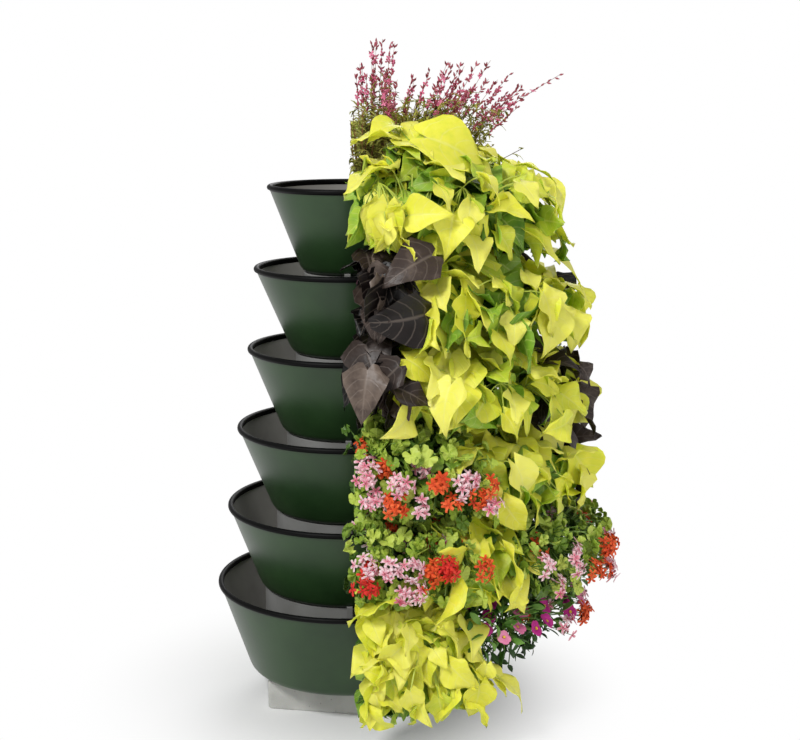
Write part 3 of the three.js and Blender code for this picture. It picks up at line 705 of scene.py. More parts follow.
def root_plant(node, seed, crown_turn, spread, runner_count):
    """A plant rooted in its tier's mix, with its runners over the rim. Its turns are in degrees"""
    tier = tiers[int(next(word for word in node.split("_") if word.isdigit())) - 1]
    dice = Random(seed)
    crown = crown_of(tier, radians(crown_turn))
    plant = SimpleNamespace(
        tier=tier, dice=dice, crown=crown, spread=[radians(turn) for turn in spread], runners=[],
        points=[], faces=[], finishes=[], marks=[], count=0)
    for i in range(runner_count):
        azimuth = plant.spread[0] + (i + 0.5) / runner_count * (plant.spread[1] - plant.spread[0])
        end = tier.rim_radius + reach_of(tier, azimuth) - dice.uniform(*runner_stop)
        start = crown + Vector((dice.uniform(-1, 1), dice.uniform(-1, 1), 0)) * crown_scatter
        root_turn = atan2(crown.y, crown.x)
        mid_turn = root_turn + rim_turn_share * (azimuth - root_turn)
        over = polar(mid_turn, tier.rim_radius - rim_overlap, tier.rim_z + dice.uniform(*runner_arch))
        spots = [start, start.lerp(over, 0.5) + Vector((0, 0, runner_lift)), over]
        for share in runner_shares:
            radius = tier.rim_radius + share * (end - tier.rim_radius)
            turn = mid_turn + share * (azimuth - mid_turn)
            spots.append(polar(turn, radius, ceiling_at(tier, radius) - dice.uniform(*runner_depth)))
        path = smooth_path(spots, runner_steps)
        taper = [runner_radius * (1 - runner_taper * k / (len(path) - 1)) for k in range(len(path))]
        grow_stem(plant, path, taper, runner_sides, stalk_finish, 0.5)
        plant.runners.append(path)
    return plant


def stand_plant(plant, name, finishes, slot, node):
    """The finished plant as a piece that rides its tier and stands for its CAD solid"""
    mesh = bpy.data.meshes.new(name)
    mesh.from_pydata(np.concatenate(plant.points).tolist(), [], plant.faces)
    for finish in finishes:
        mesh.materials.append(finish)
    mesh.polygons.foreach_set("material_index", plant.finishes)
    # Each point's marks: across the blade, along it, and its tone, which holds painted shade
    blade = mesh.attributes.new("blade", "FLOAT_VECTOR", "POINT")
    blade.data.foreach_set("vector", np.concatenate(plant.marks).astype(np.float32).ravel())
    piece = bpy.data.objects.new(name, mesh)
    bpy.context.scene.collection.objects.link(piece)
    return set_piece(piece, plant.tier.body, slot, node, sharp=75)


def blade_pattern(width_shares, lobe, columns=7, rows=7):
    """A leaf blade's flat grid for a length of 1 and a width of 1, and its closed faces"""
    along = np.linspace(0, 1, rows) ** 1.1
    across = np.linspace(-1, 1, columns)
    steps, shares = zip(*width_shares)
    half = np.interp(along, steps, shares) / 2
    grid_along, grid_across = np.meshgrid(along, across, indexing="ij")
    back = lobe * np.sin(pi * np.abs(grid_across) ** 0.9) * (1 - grid_along) ** 3
    faces = []
    top = columns * rows
    for row in range(rows - 1):
        for column in range(columns - 1):
            i = row * columns + column
            faces.append((i, i + 1, i + columns + 1, i + columns))
            faces.append((top + i, top + i + columns, top + i + columns + 1, top + i + 1))
    rim = list(range(columns))
    rim += [row * columns + columns - 1 for row in range(1, rows)]
    rim += [(rows - 1) * columns + column for column in range(columns - 2, -1, -1)]
    rim += [row * columns for row in range(rows - 2, 0, -1)]
    for i, j in zip(rim, rim[1:] + rim[:1]):
        faces.append((i, top + i, top + j, j))
    return SimpleNamespace(
        x=(grid_across * half[:, None]).ravel(), y=(grid_along - back).ravel(), rise=np.zeros(top),
        across=grid_across.ravel(), along=grid_along.ravel(), faces=faces)


def new_leaf(dice, length, heading, dip, tone, wild=1.0):
    """One leaf's size, direction, bend and tone, each a little different. Wild is how far it turns"""
    return SimpleNamespace(
        length=length * dice.uniform(0.6, 1.15), width_share=dice.uniform(0.8, 0.98),
        heading=heading + wild * dice.gauss(0, 0.6), dip=dip + wild * dice.gauss(0, 0.34),
        swing=wild * dice.gauss(0, 0.75), roll=wild * dice.gauss(0, 0.3),
        bend=dice.uniform(0.3, 1.2), fold=dice.uniform(0.06, 0.45),
        ruffle=dice.uniform(*leaf_ruffle), waves=dice.uniform(2.2, 4.0), phase=dice.uniform(1, 3),
        tone=min(1, max(0, tone + dice.gauss(0, 0.1))),
        left=left_limit + dice.choice(edge_shifts))


def turn_frame(leaf):
    """Side, tip and upper-face directions of a leaf from its heading, dip, swing and roll"""
    heading, dip, swing, roll = leaf.heading, leaf.dip, leaf.swing, leaf.roll
    tip = np.array([cos(heading) * cos(dip), sin(heading) * cos(dip), -sin(dip)])
    face = np.array([cos(heading) * sin(dip), sin(heading) * sin(dip), cos(dip)])
    side = np.cross(tip, face)
    tip, side = tip * cos(swing) + side * sin(swing), side * cos(swing) - tip * sin(swing)
    return side * cos(roll) + face * sin(roll), tip, face * cos(roll) - side * sin(roll)


def leaf_points(pattern, base, leaf):
    """A leaf's points: folded at its midrib, bent down to its tip and waved at its margin"""
    length, width = leaf.length, leaf.length * leaf.width_share
    turn = leaf.bend * pattern.y
    x = pattern.x * width
    y = length * np.sin(turn) / leaf.bend
    z = -length * (1 - np.cos(turn)) / leaf.bend + np.abs(x) * tan(leaf.fold) + length * pattern.rise
    wave = np.sin(leaf.waves * pi * pattern.along + leaf.phase * pattern.across)
    z = z + leaf.ruffle * wave * pattern.across ** 2
    side, tip, face = turn_frame(leaf)
    top = np.outer(x, side) + np.outer(y, tip) + np.outer(z, face)
    return np.array(base) + np.concatenate([top, top - face * leaf_thickness])


def settle(points, base, tier, left):
    """Moves a leaf into its tier's room, or makes it smaller. Gives its points and base back"""
    base = np.array(base, dtype=float)
    for _ in range(settle_tries):
        slide = max(0, left - points[:, 0].min()) - max(0, points[:, 0].max() - right_limit)
        aside = max(0, front_limit - points[:, 1].min()) - max(0, points[:, 1].max() - back_limit)
        move = np.array([slide, aside, 0.0])
        radius = np.hypot(points[:, 0] + slide, points[:, 1] + aside)
        beside_pot = points[:, 2] < tier.rim_z + rim_space
        if beside_pot.any():
            inward = (tier.rim_radius + rim_space - radius[beside_pot]).max()
            if inward > 0:
                out = base[:2] / max(np.hypot(*base[:2]), 1e-6)
                move[:2] += out * inward
        radius = np.hypot(points[:, 0] + move[0], points[:, 1] + move[1])
        over = (points[:, 2] - ceiling_at(tier, radius)).max()
        under = (floor_at(tier, radius) - points[:, 2]).max()
        if over + under <= 0:
            move[2] = -over if over > 0 else max(under, 0)
            return points + move, base + move
        points = base + (points - base) * settle_shrink
    return None, None


def add_blade(plant, pattern, points, tone, finish):
    """A leaf or flower's points, marked across and along it, with the underside painted darker as painted
    shade
    """
    count = len(pattern.x)
    marks = np.zeros((2 * count, 3))
    marks[:, 0] = np.tile(pattern.across, 2)
    marks[:, 1] = np.tile(pattern.along, 2)
    marks[:count, 2] = tone
    marks[count:, 2] = tone * underside_shade_factor
    grow(plant, points, pattern.faces, finish, marks)


def nearest_spot(runners, place, skip=4, fall=0):
    """The spot on the runners, past their first few, that is nearest to a place, or below it"""
    spots = [point for runner in runners for point in runner[skip:]]
    return min(spots, key=lambda spot: (spot - place).length + fall * max(0, spot.z - place.z))


def grow_leaf(plant, pattern, leaf, base, runners):
    """A leaf with the stalk that joins it to the nearest runner"""
    points, base = settle(leaf_points(pattern, base, leaf), base, plant.tier, leaf.left)
    if points is None:
        return
    add_blade(plant, pattern, points, leaf.tone, blade_finish)
    foot = Vector(base) - Vector((0, 0, leaf_thickness))
    near = nearest_spot(runners, foot, fall=0.5)
    lean = near.lerp(foot, 0.5) + Vector((0, 0, stalk_arch_share * (foot - near).length))
    lean.z = min(lean.z, ceiling_at(plant.tier, hypot(lean.x, lean.y)) - stalk_space)
    stalk = bend_curve(near, lean, foot, stalk_steps)
    grow_stem(plant, stalk, stalk_radius, stalk_sides, stalk_finish, leaf.tone)


def place_leaf(plant, pattern, length, spot, turns, tone):
    """A leaf seen from the front, at a spot, with its heading, dip and swing in degrees"""
    heading, dip, swing = (radians(turn) for turn in turns)
    leaf = new_leaf(plant.dice, length, heading, dip, tone, wild=0)
    leaf.length, leaf.swing, leaf.fold = length, swing, shown_fold
    add_blade(plant, pattern, leaf_points(pattern, spot, leaf), leaf.tone, blade_finish)
    foot = Vector(spot) - Vector((0, 0, leaf_thickness))
    near = nearest_spot(plant.runners, foot)
    bend = near.lerp(foot, 0.5) - Vector((0, 0, stalk_sag))
    stalk = bend_curve(near, bend, foot, stalk_steps)
    grow_stem(plant, stalk, stalk_radius, stalk_sides, stalk_finish, leaf.tone)


def outside_place(tier, azimuth, share, inset):
    """Radius, height and dip on a plant's outside: over the rim at share 0, hanging low at 1"""
    start = tier.rim_radius + shoulder_start
    edge = tier.rim_radius + reach_of(tier, azimuth) - inset
    hang = float(ceiling_at(tier, edge) - floor_at(tier, edge))
    along = share * (edge - start + hang)
    if along < edge - start:
        radius = start + along
        dip = shoulder_dip + (edge_dip - shoulder_dip) * along / (edge - start)
        return radius, ceiling_at(tier, radius) - inset, radians(dip)
    down = along - (edge - start)
    dip = edge_dip + (low_dip - edge_dip) * down / hang
    return edge, ceiling_at(tier, edge) - inset - down, radians(dip)


def cover_plant(plant, pattern, length, count, layers=vine_layers, shares=(0, 0.88), spread=None,
                runners=None, low_until=-pi):
    """Leaves over a plant's top and its hanging side: dark ones inside first, then bright ones, the dark
    tones being painted shade
    """
    tier, dice = plant.tier, plant.dice
    spread = spread or plant.spread
    for inset, tone, density in layers:
        offset = dice.random()
        leaves = max(1, round(density * count))
        for i in range(leaves):
            azimuth = spread[0] + (i + dice.random()) / leaves * (spread[1] - spread[0])
            share = shares[0] + (shares[1] - shares[0]) * ((i * golden_share + offset) % 1)
            radius, height, dip = outside_place(tier, azimuth, share, inset)
            if azimuth < low_until:
                height -= low_stretch_drop
            if dice.random() < lifted_share:
                dip -= lifted_turn
            shaded = dice.random() < shaded_share
            leaf = new_leaf(dice, length, azimuth, dip, shaded_tone * tone if shaded else tone)
            radius -= inside_share * leaf.length * cos(leaf.dip)
            radius = max(radius, tier.rim_radius + leaf_foot_space)
            base = polar(azimuth, radius, min(height, ceiling_at(tier, radius)))
            grow_leaf(plant, pattern, leaf, base, runners or plant.runners)


def leaf_finish(name, tones, vein, roughness, vein_strength, soft=0):
    """A leaf, stalk or petal: its tones by the blade's tone, its veins, fine blisters and blotches"""
    finish, tree, shader, place = new_finish(
        name, roughness, Specular_IOR_Level=0.35, Subsurface_Weight=soft, Subsurface_Scale=light_depth,
        Subsurface_Radius=(0.8, 1, 0.3))
    marks = add_node(tree, "Attribute", attribute_name="blade").outputs["Vector"]
    parts = add_node(tree, "SeparateXYZ", [(0, marks)])
    blotch = add_node(tree, "TexNoise", [("Vector", place), ("Scale", 1 / blotch_width), ("Detail", 3)])
    blister = add_node(tree, "TexNoise", [
        ("Vector", place), ("Scale", 1 / blister_width), ("Detail", 2)])
    from_rib = add_node(tree, "Math", [(0, parts.outputs["X"])], operation="ABSOLUTE")
    rib = add_node(tree, "MapRange", [
        ("Value", from_rib), ("From Min", 0.02), ("From Max", 0.09),
        ("To Min", 1), ("To Max", 0)])
    slant = add_node(tree, "Math", [(0, from_rib), (1, side_vein_slant)], operation="MULTIPLY")
    slant = add_node(tree, "Math", [
        (0, parts.outputs["Y"]), (1, side_vein_pairs), (2, slant)], operation="MULTIPLY_ADD")
    ripple = add_node(tree, "Math", [(0, slant), (1, 0.5)], operation="PINGPONG")
    side_veins = add_node(tree, "MapRange", [
        ("Value", ripple), ("From Min", 0.0), ("From Max", 0.09),
        ("To Min", 0.75), ("To Max", 0)])
    veins = add_node(tree, "Math", [(0, rib), (1, side_veins)], operation="MAXIMUM")
    varied = add_node(tree, "MapRange", [
        ("Value", blotch), ("From Min", 0.3), ("From Max", 0.7),
        ("To Min", -0.09), ("To Max", 0.09)])
    # The blade's tone carries painted shade: darker deep in a plant, low on a stem and underneath
    tone = add_node(tree, "Math", [
        (0, parts.outputs["Z"]), (1, varied)], operation="ADD", use_clamp=True)
    ramp = add_node(tree, "ValToRGB", [("Fac", tone)], stops=tones)
    shown = add_node(tree, "Math", [(0, veins), (1, vein_strength)], operation="MULTIPLY")
    colour = add_node(tree, "MixRGB", [("Fac", shown), ("Color1", ramp), ("Color2", linear(vein))])
    relief = add_node(tree, "Math", [(0, veins), (1, vein_depth), (2, blister)], operation="MULTIPLY_ADD")
    bump = add_node(tree, "Bump", [("Strength", 0.5), ("Distance", vein_relief), ("Height", relief)])
    dress(tree, shader, Base_Color=colour, Normal=bump)
    return finish


# Lime sweet-potato leaf: thin and soft, so light comes through; lime, with paler veins, and painted
# darker and greener deep in the plant as painted shade. Its stalk is duller and without veins.
lime_leaf = leaf_finish("lime_sweet_potato_leaf", (
    (0, "#3b681b"), (0.3, "#93ba3c"), (0.55, "#cbdc42"), (0.8, "#f1f04a"), (1, "#f8f56c")),
    "#f1f2a0", roughness=0.45, vein_strength=0.3, soft=0.35)
lime_stalk = leaf_finish("lime_leaf_stalk", (
    (0, "#6b7f2c"), (0.5, "#a8bb45"), (1, "#c9d65e")), "#c9d65e", roughness=0.5, vein_strength=0)

heart_shares = (
    (0, 0.62), (0.06, 0.86), (0.15, 0.98), (0.27, 1.0), (0.42, 0.86), (0.57, 0.63),
    (0.72, 0.38), (0.87, 0.16), (1, 0.008))
heart = blade_pattern(heart_shares, lobe=0.2, columns=5, rows=9)
broad_heart = blade_pattern(heart_shares, lobe=0.2, columns=9, rows=9)

# Each vine's seed, the turns of its crown and its spread, leaf length and leaf count. Then the
# leaves that stand out at the front: length, spot, heading, dip and swing, and tone.
for node, seed, crown_turn, spread, length, count, shown in (
        ("lime_vine_1_front", 11, -65, (-88, -54), 0.062, 64, (
            (0.085, (0.07, -0.325, 0.285), (184, 14, -6), 0.9),
            (0.06, (0.19, -0.312, 0.11), (-16, 24, 10), 0.8),
            (0.07, (0.247, -0.29, 0.13), (-8, 24, 0), 0.9),
            (0.062, (0.22, -0.28, 0.15), (-20, 30, 10), 0.85),
            (0.05, (0.2, -0.3, 0.16), (-40, 30, -20), 0.7))),
        ("lime_vine_1_back", 12, 55, (38, 88), 0.076, 32, ()),
        ("lime_vine_2_front_right", 21, -27.5, (-68, -36), 0.078, 30, ()),
        ("lime_vine_2_back", 22, 62.5, (44, 88), 0.08, 26, ()),
        ("lime_vine_3_front_right", 31, -27.5, (-55, -12), 0.078, 30, ()),
        ("lime_vine_4_right", 41, -5, (-74, 8), 0.08, 50, (
            (0.085, (0.16, -0.305, 0.625), (-125, 48, 0), 1.0),)),
        ("lime_vine_4_back", 42, 55, (22, 88), 0.08, 30, ()),
        ("lime_vine_5_right", 51, -5, (-70, 14), 0.08, 52, (
            (0.1, (0.33, -0.06, 0.715), (-15, 28, 0), 0.9),)),
        ("lime_vine_6_front", 61, -65, (-88, -42), 0.072, 34, (
            (0.09, (0.06, -0.185, 0.953), (182, 10, -30), 0.95),
            (0.095, (0.065, -0.205, 0.897), (188, 14, 15), 0.9),
            (0.07, (0.075, -0.15, 1.0), (200, -12, 20), 0.85))),
        ("lime_vine_6_right", 62, 25, (-42, 82), 0.08, 60, (
            (0.14, (0.13, -0.165, 1.0), (-80, 44, -70), 0.85),
            (0.105, (0.295, -0.05, 0.922), (-12, 22, -5), 0.9),
            (0.07, (0.3, 0.0, 0.945), (0, 5, 0), 0.9),
            (0.1, (0.335, -0.03, 0.8), (-10, 15, 0), 0.9)))):
    vine = root_plant(node, seed, crown_turn, spread, 6)
    # The top vine hangs lower at its front edge than beside it
    low_until = radians(-60) if node == "lime_vine_6_front" else -pi
    cover_plant(vine, heart, length, count, low_until=low_until)
    for leaf in shown:
        place_leaf(vine, broad_heart, *leaf)
    stand_plant(vine, f"{node}_leaves", [lime_leaf, lime_stalk], "lime_foliage", node)

# Purple sweet-potato vines
# The same trailing vine in its dark form: dusky purple-grey leaves with square shoulders and
# raised veins, on dark stalks.
# Each layer: depth under the outside, tone and share of the leaf count. The tone is painted shade, darkest
# deep in the plant, as in the long runner's layers
purple_layers = ((0.045, 0, 1), (0.02, 0.16, 1), (0, 0.66, 0.8))
# The runner that trails behind the lime leaves to the right side: its turns and radii, its
# depth under the outside, and its own leaves
long_runner = ((-62, 0.2), (-48, 0.225), (-32, 0.25), (-18, 0.28), (-5, 0.32), (3, 0.36))
long_runner_depth = 0.06
long_runner_layers = ((0.02, 0.3, 1), (-0.006, 0.6, 1))
long_runner_leaf = 0.075

# Purple sweet-potato leaf: dark and dusky, a little glossy, with paler grey veins
purple_leaf = leaf_finish("purple_sweet_potato_leaf", (
    (0, "#060403"), (0.35, "#18100e"), (0.7, "#40342e"), (1, "#8a7a6d")),
    "#93857a", roughness=0.42, vein_strength=0.3)
purple_stalk = leaf_finish("purple_leaf_stalk", (
    (0, "#2a161c"), (0.5, "#4d2c38"), (1, "#6b4250")), "#6b4250", roughness=0.5, vein_strength=0)
shield_shares = (
    (0, 0.62), (0.06, 0.86), (0.14, 1.0), (0.26, 0.98), (0.36, 0.86), (0.52, 0.64),
    (0.7, 0.42), (0.86, 0.2), (1, 0.012))
shield = blade_pattern(shield_shares, lobe=0.14)

for node, seed, crown_turn, spread, length, count, shown in (
        ("purple_vine_3_back_right", 37, 17.5, (-14, 40), 0.074, 30, ()),
        ("purple_vine_4_front", 43, -65, (-88, -74), 0.09, 10, (
            (0.088, (0.03, -0.3, 0.648), (-98, 62, 5), 1.0),
            (0.07, (0.075, -0.3, 0.62), (-80, 40, -60), 0.5))),
        ("purple_vine_5_front", 53, -65, (-88, -73), 0.092, 11, (
            (0.1, (0.132, -0.262, 0.822), (-70, 48, 70), 0.7),
            (0.08, (0.07, -0.26, 0.8), (-120, 50, 10), 0.3))),
        ("purple_vine_5_back", 54, 55, (8, 88), 0.098, 27, ())):
    vine = root_plant(node, seed, crown_turn, spread, 4)
    cover_plant(vine, shield, length, count, purple_layers)
    if node == "purple_vine_4_front":
        bends = [vine.crown] + [
            polar(radians(turn), radius, ceiling_at(vine.tier, radius) - long_runner_depth)
            for turn, radius in long_runner]
        path = smooth_path(bends, 5)
        grow_stem(vine, path, runner_radius, 6, stalk_finish, 0.5)
        cover_plant(vine, shield, long_runner_leaf, 12, long_runner_layers, shares=(0.45, 0.95),
                    spread=(radians(-13), radians(10)), runners=[path])
    for leaf in shown:
        place_leaf(vine, shield, *leaf)
    stand_plant(vine, f"{node}_leaves", [purple_leaf, purple_stalk], "purple_foliage", node)

# Ivy geraniums
# Mounding plants with round five-lobed leaves. Heads of orange-red, red and pink five-petalled
# flowers stand out from them on thin stalks.
geranium_leaf_length = 0.031
# Each layer: depth under the outside, tone and share of the leaf count. The tone is painted shade, darkest
# deep in the plant
geranium_layers = ((0.04, 0.05, 1), (0.025, 0.3, 1), (0.012, 0.6, 1), (0, 0.88, 0.8))
floret_width = 0.022
head_radius = 0.02
head_left_space = 0.02
head_space = 0.022
head_stalk_arch = 0.01
head_tilt = 0.25
head_florets = (6, 12)
head_scatter = 0.95
head_depths = (0.5, 1.35)
pedicel_radius = 0.0006
petal_base_share = 0.35
petal_ruffle_share = 0.03
throat_mark = 0.2


def star_pattern(outline, lobes, throat=0.0, throat_tone=1):
    """A flat form round its middle from (turn, radius share) points, with as many lobes"""
    turns = np.radians([turn for turn, _ in outline])
    shares = np.array([share for _, share in outline])
    count = len(outline)
    radii = np.concatenate([[0], petal_base_share * shares, shares]) / 2
    spin = np.concatenate([[0], turns, turns])
    from_lobe = np.abs((turns * lobes / (2 * pi) + 0.5) % 1 - 0.5) * 2
    size = 2 * count + 1
    faces = []
    for i in range(count):
        j = (i + 1) % count
        near, far = (1 + i, 1 + j), (1 + count + i, 1 + count + j)
        faces += [(0, near[1], near[0]), (near[0], near[1], far[1], far[0])]
        faces += [(size, size + near[0], size + near[1]),
                  (size + near[0], size + far[0], size + far[1], size + near[1])]
        faces.append((far[0], far[1], size + far[1], size + far[0]))
    rise = np.zeros(size)
    rise[0] = -throat
    return SimpleNamespace(
        x=radii * np.sin(spin), y=radii * np.cos(spin), rise=rise, throat_tone=throat_tone,
        across=np.concatenate([[throat_mark], throat_mark + (1 - throat_mark) * from_lobe, from_lobe]),
        along=np.concatenate([[0], np.full(count, petal_base_share), np.ones(count)]), faces=faces)


def petals(count, petal):
    """The outline of a flower of some petals, each given by (turn, radius share) points"""
    return [(360 / count * i + turn, share) for i in range(count) for turn, share in petal]


def grow_flower(plant, pattern, place, direction, width, finish, tone):
    """A flower that faces a direction, darker in its throat"""
    dice = plant.dice
    direction = Vector(direction).normalized()
    flower = SimpleNamespace(
        length=width * dice.uniform(0.88, 1.1), width_share=1,
        heading=atan2(direction.y, direction.x), dip=pi / 2 - asin(direction.z),
        swing=dice.uniform(0, pi), roll=0, bend=dice.uniform(0.2, 0.7), fold=dice.uniform(-0.1, 0.25),
        ruffle=width * petal_ruffle_share, waves=1, phase=dice.uniform(1, 3))
    tone = min(1, max(0, tone + dice.gauss(0, 0.12)))
    shades = tone * (pattern.throat_tone + (1 - pattern.throat_tone) * pattern.along)
    add_blade(plant, pattern, leaf_points(pattern, place, flower), shades, finish)


def any_direction(dice):
    return Vector((dice.gauss(0, 1), dice.gauss(0, 1), dice.gauss(0, 1))).normalized()


def grow_head(plant, turn, share, finish):
    """A round head of geranium flowers on its stalk, at a turn in degrees and a share outside"""
    tier, dice = plant.tier, plant.dice
    azimuth = radians(turn)
    radius, height, _ = outside_place(tier, azimuth, share, 0)
    room = head_radius + floret_width / 2
    height = min(height, ceiling_at(tier, radius + room) - room)
    height = max(height, float(floor_at(tier, radius - room)) + room)
    centre = polar(azimuth, radius, height)
    centre.x = min(max(centre.x, left_limit + head_left_space), right_limit - head_space)
    centre.y = min(max(centre.y, front_limit + head_space), back_limit - head_space)
    out = Vector((cos(azimuth), sin(azimuth), head_tilt))
    near = nearest_spot(plant.runners, centre, skip=6)
    foot = centre - out * head_radius
    arch = near.lerp(foot, 0.6) + Vector((0, 0, head_stalk_arch))
    grow_stem(plant, bend_curve(near, arch, foot, 5), stalk_radius, stalk_sides, stalk_finish, 0.7)
    for _ in range(dice.randint(*head_florets)):
        direction = (out + any_direction(dice) * head_scatter).normalized()
        spot = centre + direction * head_radius * dice.uniform(*head_depths)
        pedicel = bend_curve(foot, foot.lerp(spot, 0.5), spot, 2)
        grow_stem(plant, pedicel, pedicel_radius, 3, stalk_finish, 0.4)
        grow_flower(plant, geranium_flower, spot, direction, floret_width, finish, 0.6)


# Ivy-geranium leaf: bright mid green, a little fleshy and glossy, with paler veins from the stalk
geranium_leaf = leaf_finish("ivy_geranium_leaf", (
    (0, "#243e10"), (0.35, "#527821"), (0.7, "#9bb83e"), (1, "#c9da60")),
    "#c3d57e", roughness=0.4, vein_strength=0.25)
geranium_stalk = leaf_finish("ivy_geranium_stalk", (
    (0, "#3f5e25"), (0.5, "#6e9440"), (1, "#8fae57")), "#8fae57", roughness=0.5, vein_strength=0)
# Geranium petals: thin and matt, deeper in the throat, with darker streaks
orange_petal = leaf_finish("orange_red_geranium_petal", (
    (0, "#a82a0e"), (0.25, "#d6421a"), (0.55, "#ef5f28"), (1, "#fb8a52")), "#a3200c", roughness=0.6,
    vein_strength=0.3)
red_petal = leaf_finish("red_geranium_petal", (
    (0, "#8f1010"), (0.25, "#c71f1c"), (0.55, "#e63226"), (1, "#f25c48")), "#7c0b10", roughness=0.6,
    vein_strength=0.3)
pink_petal = leaf_finish("pink_geranium_petal", (
    (0, "#bf2a48"), (0.25, "#e0738b"), (0.55, "#f7d5db"), (1, "#fffafa")), "#c93f62", roughness=0.6,
    vein_strength=0.35)

lobed_outline = [(-164, 0.78)]
for middle in (-130, -65, 0, 65, 130):
    lobed_outline += [(middle - 22, 0.93), (middle, 1.0), (middle + 22, 0.93)]
    if middle < 130:
        lobed_outline.append((middle + 32.5, 0.76))
lobed_outline += [(164, 0.78), (180, 0.12)]
lobed = star_pattern(lobed_outline, 5.54)
lobed.y = lobed.y + 0.4
geranium_flower = star_pattern(petals(5, (
    (-36, 0.2), (-19, 0.62), (-11, 0.98), (6, 1.0), (17, 0.7))), 5, throat=0.06, throat_tone=0.15)

# Each plant's seed, the turns of its crown and its spread, and leaf count. Then its heads: turn,
# share of the outside, and petal, which is 2 for orange-red, 3 for red and 4 for pink.
for node, seed, crown_turn, spread, count, heads in (
        ("geranium_2_front", 24, -72.5, (-91, -55), 98, (
            (-58, 0.08, 4), (-74, 0.95, 4), (-82, 0.08, 4), (-56, 0.3, 2), (-63, 0.12, 4), (-56, 0.55, 2),
            (-89, 0.12, 4), (-83, 0.3, 4), (-78, 0.18, 2), (-73, 0.34, 4), (-71, 0.14, 3), (-66, 0.3, 2),
            (-88, 0.5, 4), (-86, 0.7, 3), (-80, 0.6, 4), (-74, 0.56, 4), (-69, 0.55, 2), (-65, 0.52, 3),
            (-66, 0.7, 3), (-70, 0.74, 2), (-62, 0.32, 4), (-60, 0.2, 2), (-88, 0.93, 3), (-76, 0.8, 4))),
        ("geranium_2_back_right", 25, 17.5, (-44, 40), 170, (
            (-40, 0.6, 4), (-34, 0.45, 2), (-30, 0.75, 4), (-26, 0.55, 4), (-22, 0.85, 2), (-36, 0.9, 4),
            (-18, 0.4, 4), (-14, 0.65, 2), (-10, 0.35, 4), (-4, 0.5, 2), (2, 0.35, 4), (-8, 0.72, 2),
            (0, 0.7, 4), (8, 0.55, 4), (6, 0.85, 2), (-16, 0.95, 2),
            (-12, 0.9, 4), (-2, 0.95, 2), (14, 0.4, 3), (20, 0.7, 4), (26, 0.5, 2), (33, 0.65, 4))),
        ("geranium_3_front", 34, -72.5, (-91, -49), 92, (
            (-56, 0.8, 2), (-53, 0.9, 4), (-58, 0.5, 4), (-54, 0.66, 2), (-68, 0.36, 4),
            (-88, 0.35, 4), (-87, 0.22, 2), (-80, 0.4, 2), (-86, 0.5, 4), (-76, 0.7, 4), (-66, 0.62, 2),
            (-60, 0.72, 4), (-63, 0.85, 2), (-71, 0.88, 4), (-83, 0.8, 4), (-78, 0.92, 2))),
        ("geranium_3_back", 35, 62.5, (40, 90), 76, (
            (44, 0.6, 2), (48, 0.4, 4), (56, 0.7, 4), (64, 0.3, 2), (68, 0.8, 4), (74, 0.5, 3),
            (80, 0.4, 4), (86, 0.75, 4)))):
    bush = root_plant(node, seed, crown_turn, spread, 6)
    cover_plant(bush, lobed, geranium_leaf_length, count, geranium_layers)
    for head in heads:
        grow_head(bush, *head)
    stand_plant(bush, f"{node}_bush", [
        geranium_leaf, geranium_stalk, orange_petal, red_petal, pink_petal], "flowering_foliage", node)

# Calibrachoa
# A trailing bush with many small narrow leaves and trumpet flowers in magenta and pink, each
# with a yellow throat. Heads of the geranium above hang among them.
calibrachoa_leaf_length = 0.026
calibrachoa_foot_depth = 0.01
# Each layer: depth under the outside and tone. The tone is painted shade, darkest deep in the bush
calibrachoa_layers = ((0.075, 0), (0.05, 0.02), (0.03, 0.2), (0.015, 0.45), (0, 0.75))
layer_leaves = 185
leaf_low_share = 0.62
small_leaf_lift = radians(20)
small_leaf_widths = (0.4, 0.52)
trumpets = 46
trumpet_sway = (0.25, 0.35)
trumpet_depth_share = 0.3
trumpet_high_share, trumpet_low_share = 0.08, 0.58
trumpet_width = 0.03
throat_width = 0.006
throat_lift = 0.0006

# Calibrachoa leaf: small, soft and downy, dull mid green
small_leaf = leaf_finish("calibrachoa_leaf", (
    (0, "#1f3a14"), (0.4, "#3c6b24"), (0.75, "#63923a"), (1, "#82ab52")), "#8fb565", roughness=0.6,
    vein_strength=0.2)
# Calibrachoa petals: velvety magenta and pink, with a yellow throat
magenta_petal = leaf_finish("magenta_calibrachoa_petal", (
    (0, "#7d0e52"), (0.4, "#b3197a"), (0.7, "#d2349a"), (1, "#e05fb2")), "#5d0a3f", roughness=0.65,
    vein_strength=0.3)
rose_petal = leaf_finish("pink_calibrachoa_petal", (
    (0, "#c23a78"), (0.4, "#dd6499"), (0.7, "#ec8fb5"), (1, "#f5b7cc")), "#a8295f", roughness=0.65,
    vein_strength=0.3)
yellow_throat = leaf_finish("yellow_calibrachoa_throat", (
    (0, "#b98a12"), (0.5, "#e0b52a"), (1, "#f1d35a")), "#a86f10", roughness=0.6, vein_strength=0.2)

oval_shares = ((0, 0.16), (0.2, 0.72), (0.42, 0.98), (0.62, 0.92), (0.82, 0.6), (1, 0.02))
oval = blade_pattern(oval_shares, lobe=0, columns=3, rows=5)
trumpet = star_pattern(petals(5, ((-36, 0.84), (-22, 0.97), (0, 1.0), (22, 0.97))), 5, throat=0.3)
throat_disc = star_pattern([(turn, 1) for turn in range(0, 360, 60)], 1, throat=0.2)

